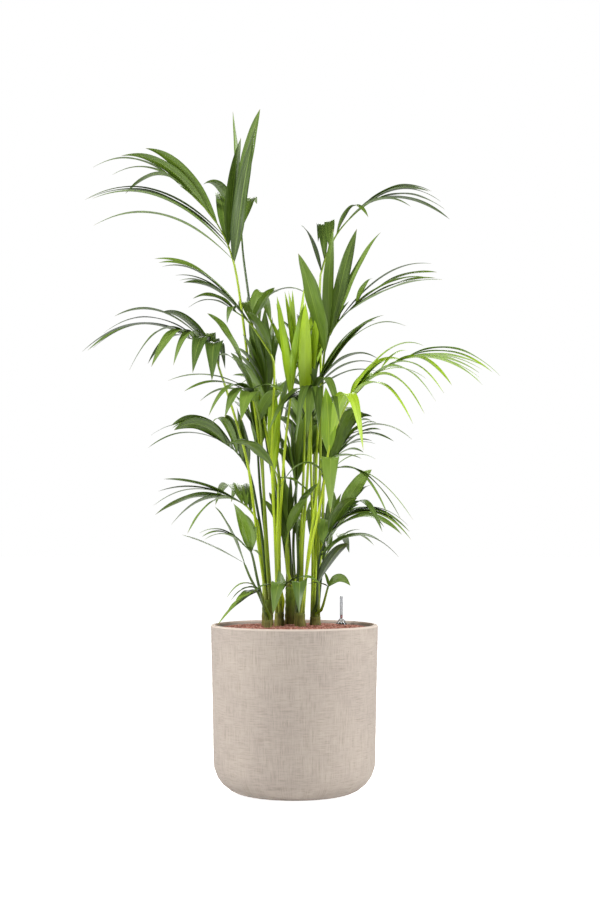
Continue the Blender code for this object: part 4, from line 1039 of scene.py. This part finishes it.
# %% Build every frond
for number, name in enumerate(frond_names):
    chance = random.Random(100 + number)
    rings, leaflets = measured[name]
    leaflets.sort(key=lambda leaf: tuple(round(c, 4) for c in leaf["tip"]))
    fuller = leaflets + in_between(leaflets, chance)
    blades = make_blades(name + "_leaflets", fuller, chance, leaf_finishes[slot_of[name]])
    place(blades, name)
    stalk = make_stalk(name + "_stalk", rachis_line(rings, leaflets), chance.random())
    wear(stalk, stalk_finishes[slot_of[name]])
    place(stalk, name)

bpy.data.objects.remove(master_blade, do_unlink=True)
print("fronds:", len(frond_names), "built")

# %% [markdown]
# ## Floor, light and camera
# A white floor in a white room keeps the silhouette clear. Two wide soft lights stand left and
# right, so that the planter's sides are brighter than its middle, and a weaker one stands high in
# front. The camera stands low and looks slightly up, with a long lens, so that the leaves stay
# straight. The room looks white to the camera, but lights the plant less, which keeps its depth.

# %% Stage
ROOM_LIGHT = 0.13
FLOOR_GLOW = 0.93
FLOOR_FILL = 0.30


def seen_by_camera(tree, otherwise, value):
    """One value where the camera looks, and another for the light that reaches the plant."""
    light_path = add_node(tree, "ShaderNodeLightPath")
    choice = add_node(tree, "ShaderNodeMapRange", links={"Value": light_path.outputs["Is Camera Ray"]})
    choice.inputs["To Min"].default_value = otherwise
    choice.inputs["To Max"].default_value = value
    return choice.outputs["Result"]


def make_floor():
    bpy.ops.object.select_all(action="DESELECT")
    bpy.ops.mesh.primitive_plane_add(size=60.0, location=(0, 0, -0.0005))
    floor = bpy.context.object
    floor.name = "floor"
    settle(floor)
    mat, tree, shader = new_material("pale_floor", 0.9, Specular_IOR_Level=0.1)
    shader.inputs["Base Color"].default_value = (0.88, 0.88, 0.88, 1)
    shader.inputs["Emission Color"].default_value = (1, 1, 1, 1)
    tree.links.new(seen_by_camera(tree, FLOOR_FILL, FLOOR_GLOW), shader.inputs["Emission Strength"])
    wear(floor, mat)


def add_light(name, place_at, aim, size, power):
    data = bpy.data.lights.new(name, "AREA")
    data.shape = "DISK"
    data.size = size
    data.energy = power
    light = bpy.data.objects.new(name, data)
    light.location = place_at
    light.rotation_euler = (Vector(aim) - Vector(place_at)).to_track_quat("-Z", "Y").to_euler()
    bpy.context.scene.collection.objects.link(light)


def make_room():
    """A white room that the camera sees at full strength."""
    world = bpy.data.worlds.new("white_room")
    world.use_nodes = True
    tree = world.node_tree
    background = tree.nodes["Background"]
    background.inputs["Color"].default_value = (1, 1, 1, 1)
    tree.links.new(seen_by_camera(tree, ROOM_LIGHT, 1.0), background.inputs["Strength"])
    bpy.context.scene.world = world


middle = (0.0, 0.0, 0.85)
make_floor()
make_room()
add_light("left", (-3.1, -0.9, 2.3), middle, 1.4, 150.0)
add_light("right", (3.1, -0.8, 2.0), middle, 1.4, 140.0)
add_light("front", (-0.6, -4.0, 3.2), middle, 1.4, 75.0)
add_light("back", (0.5, 3.2, 2.8), middle, 2.0, 110.0)
bpy.context.scene.view_settings.view_transform = "Standard"

camera_data = bpy.data.cameras.new("camera")
camera_data.sensor_width = 36.0
camera_data.lens = 61.4
camera = bpy.data.objects.new("camera", camera_data)
camera.location = (0.0133, -3.70, 0.626)
camera.rotation_euler = (math.radians(90 + 2.95), 0.0, 0.0)
bpy.context.scene.collection.objects.link(camera)
bpy.context.scene.camera = camera
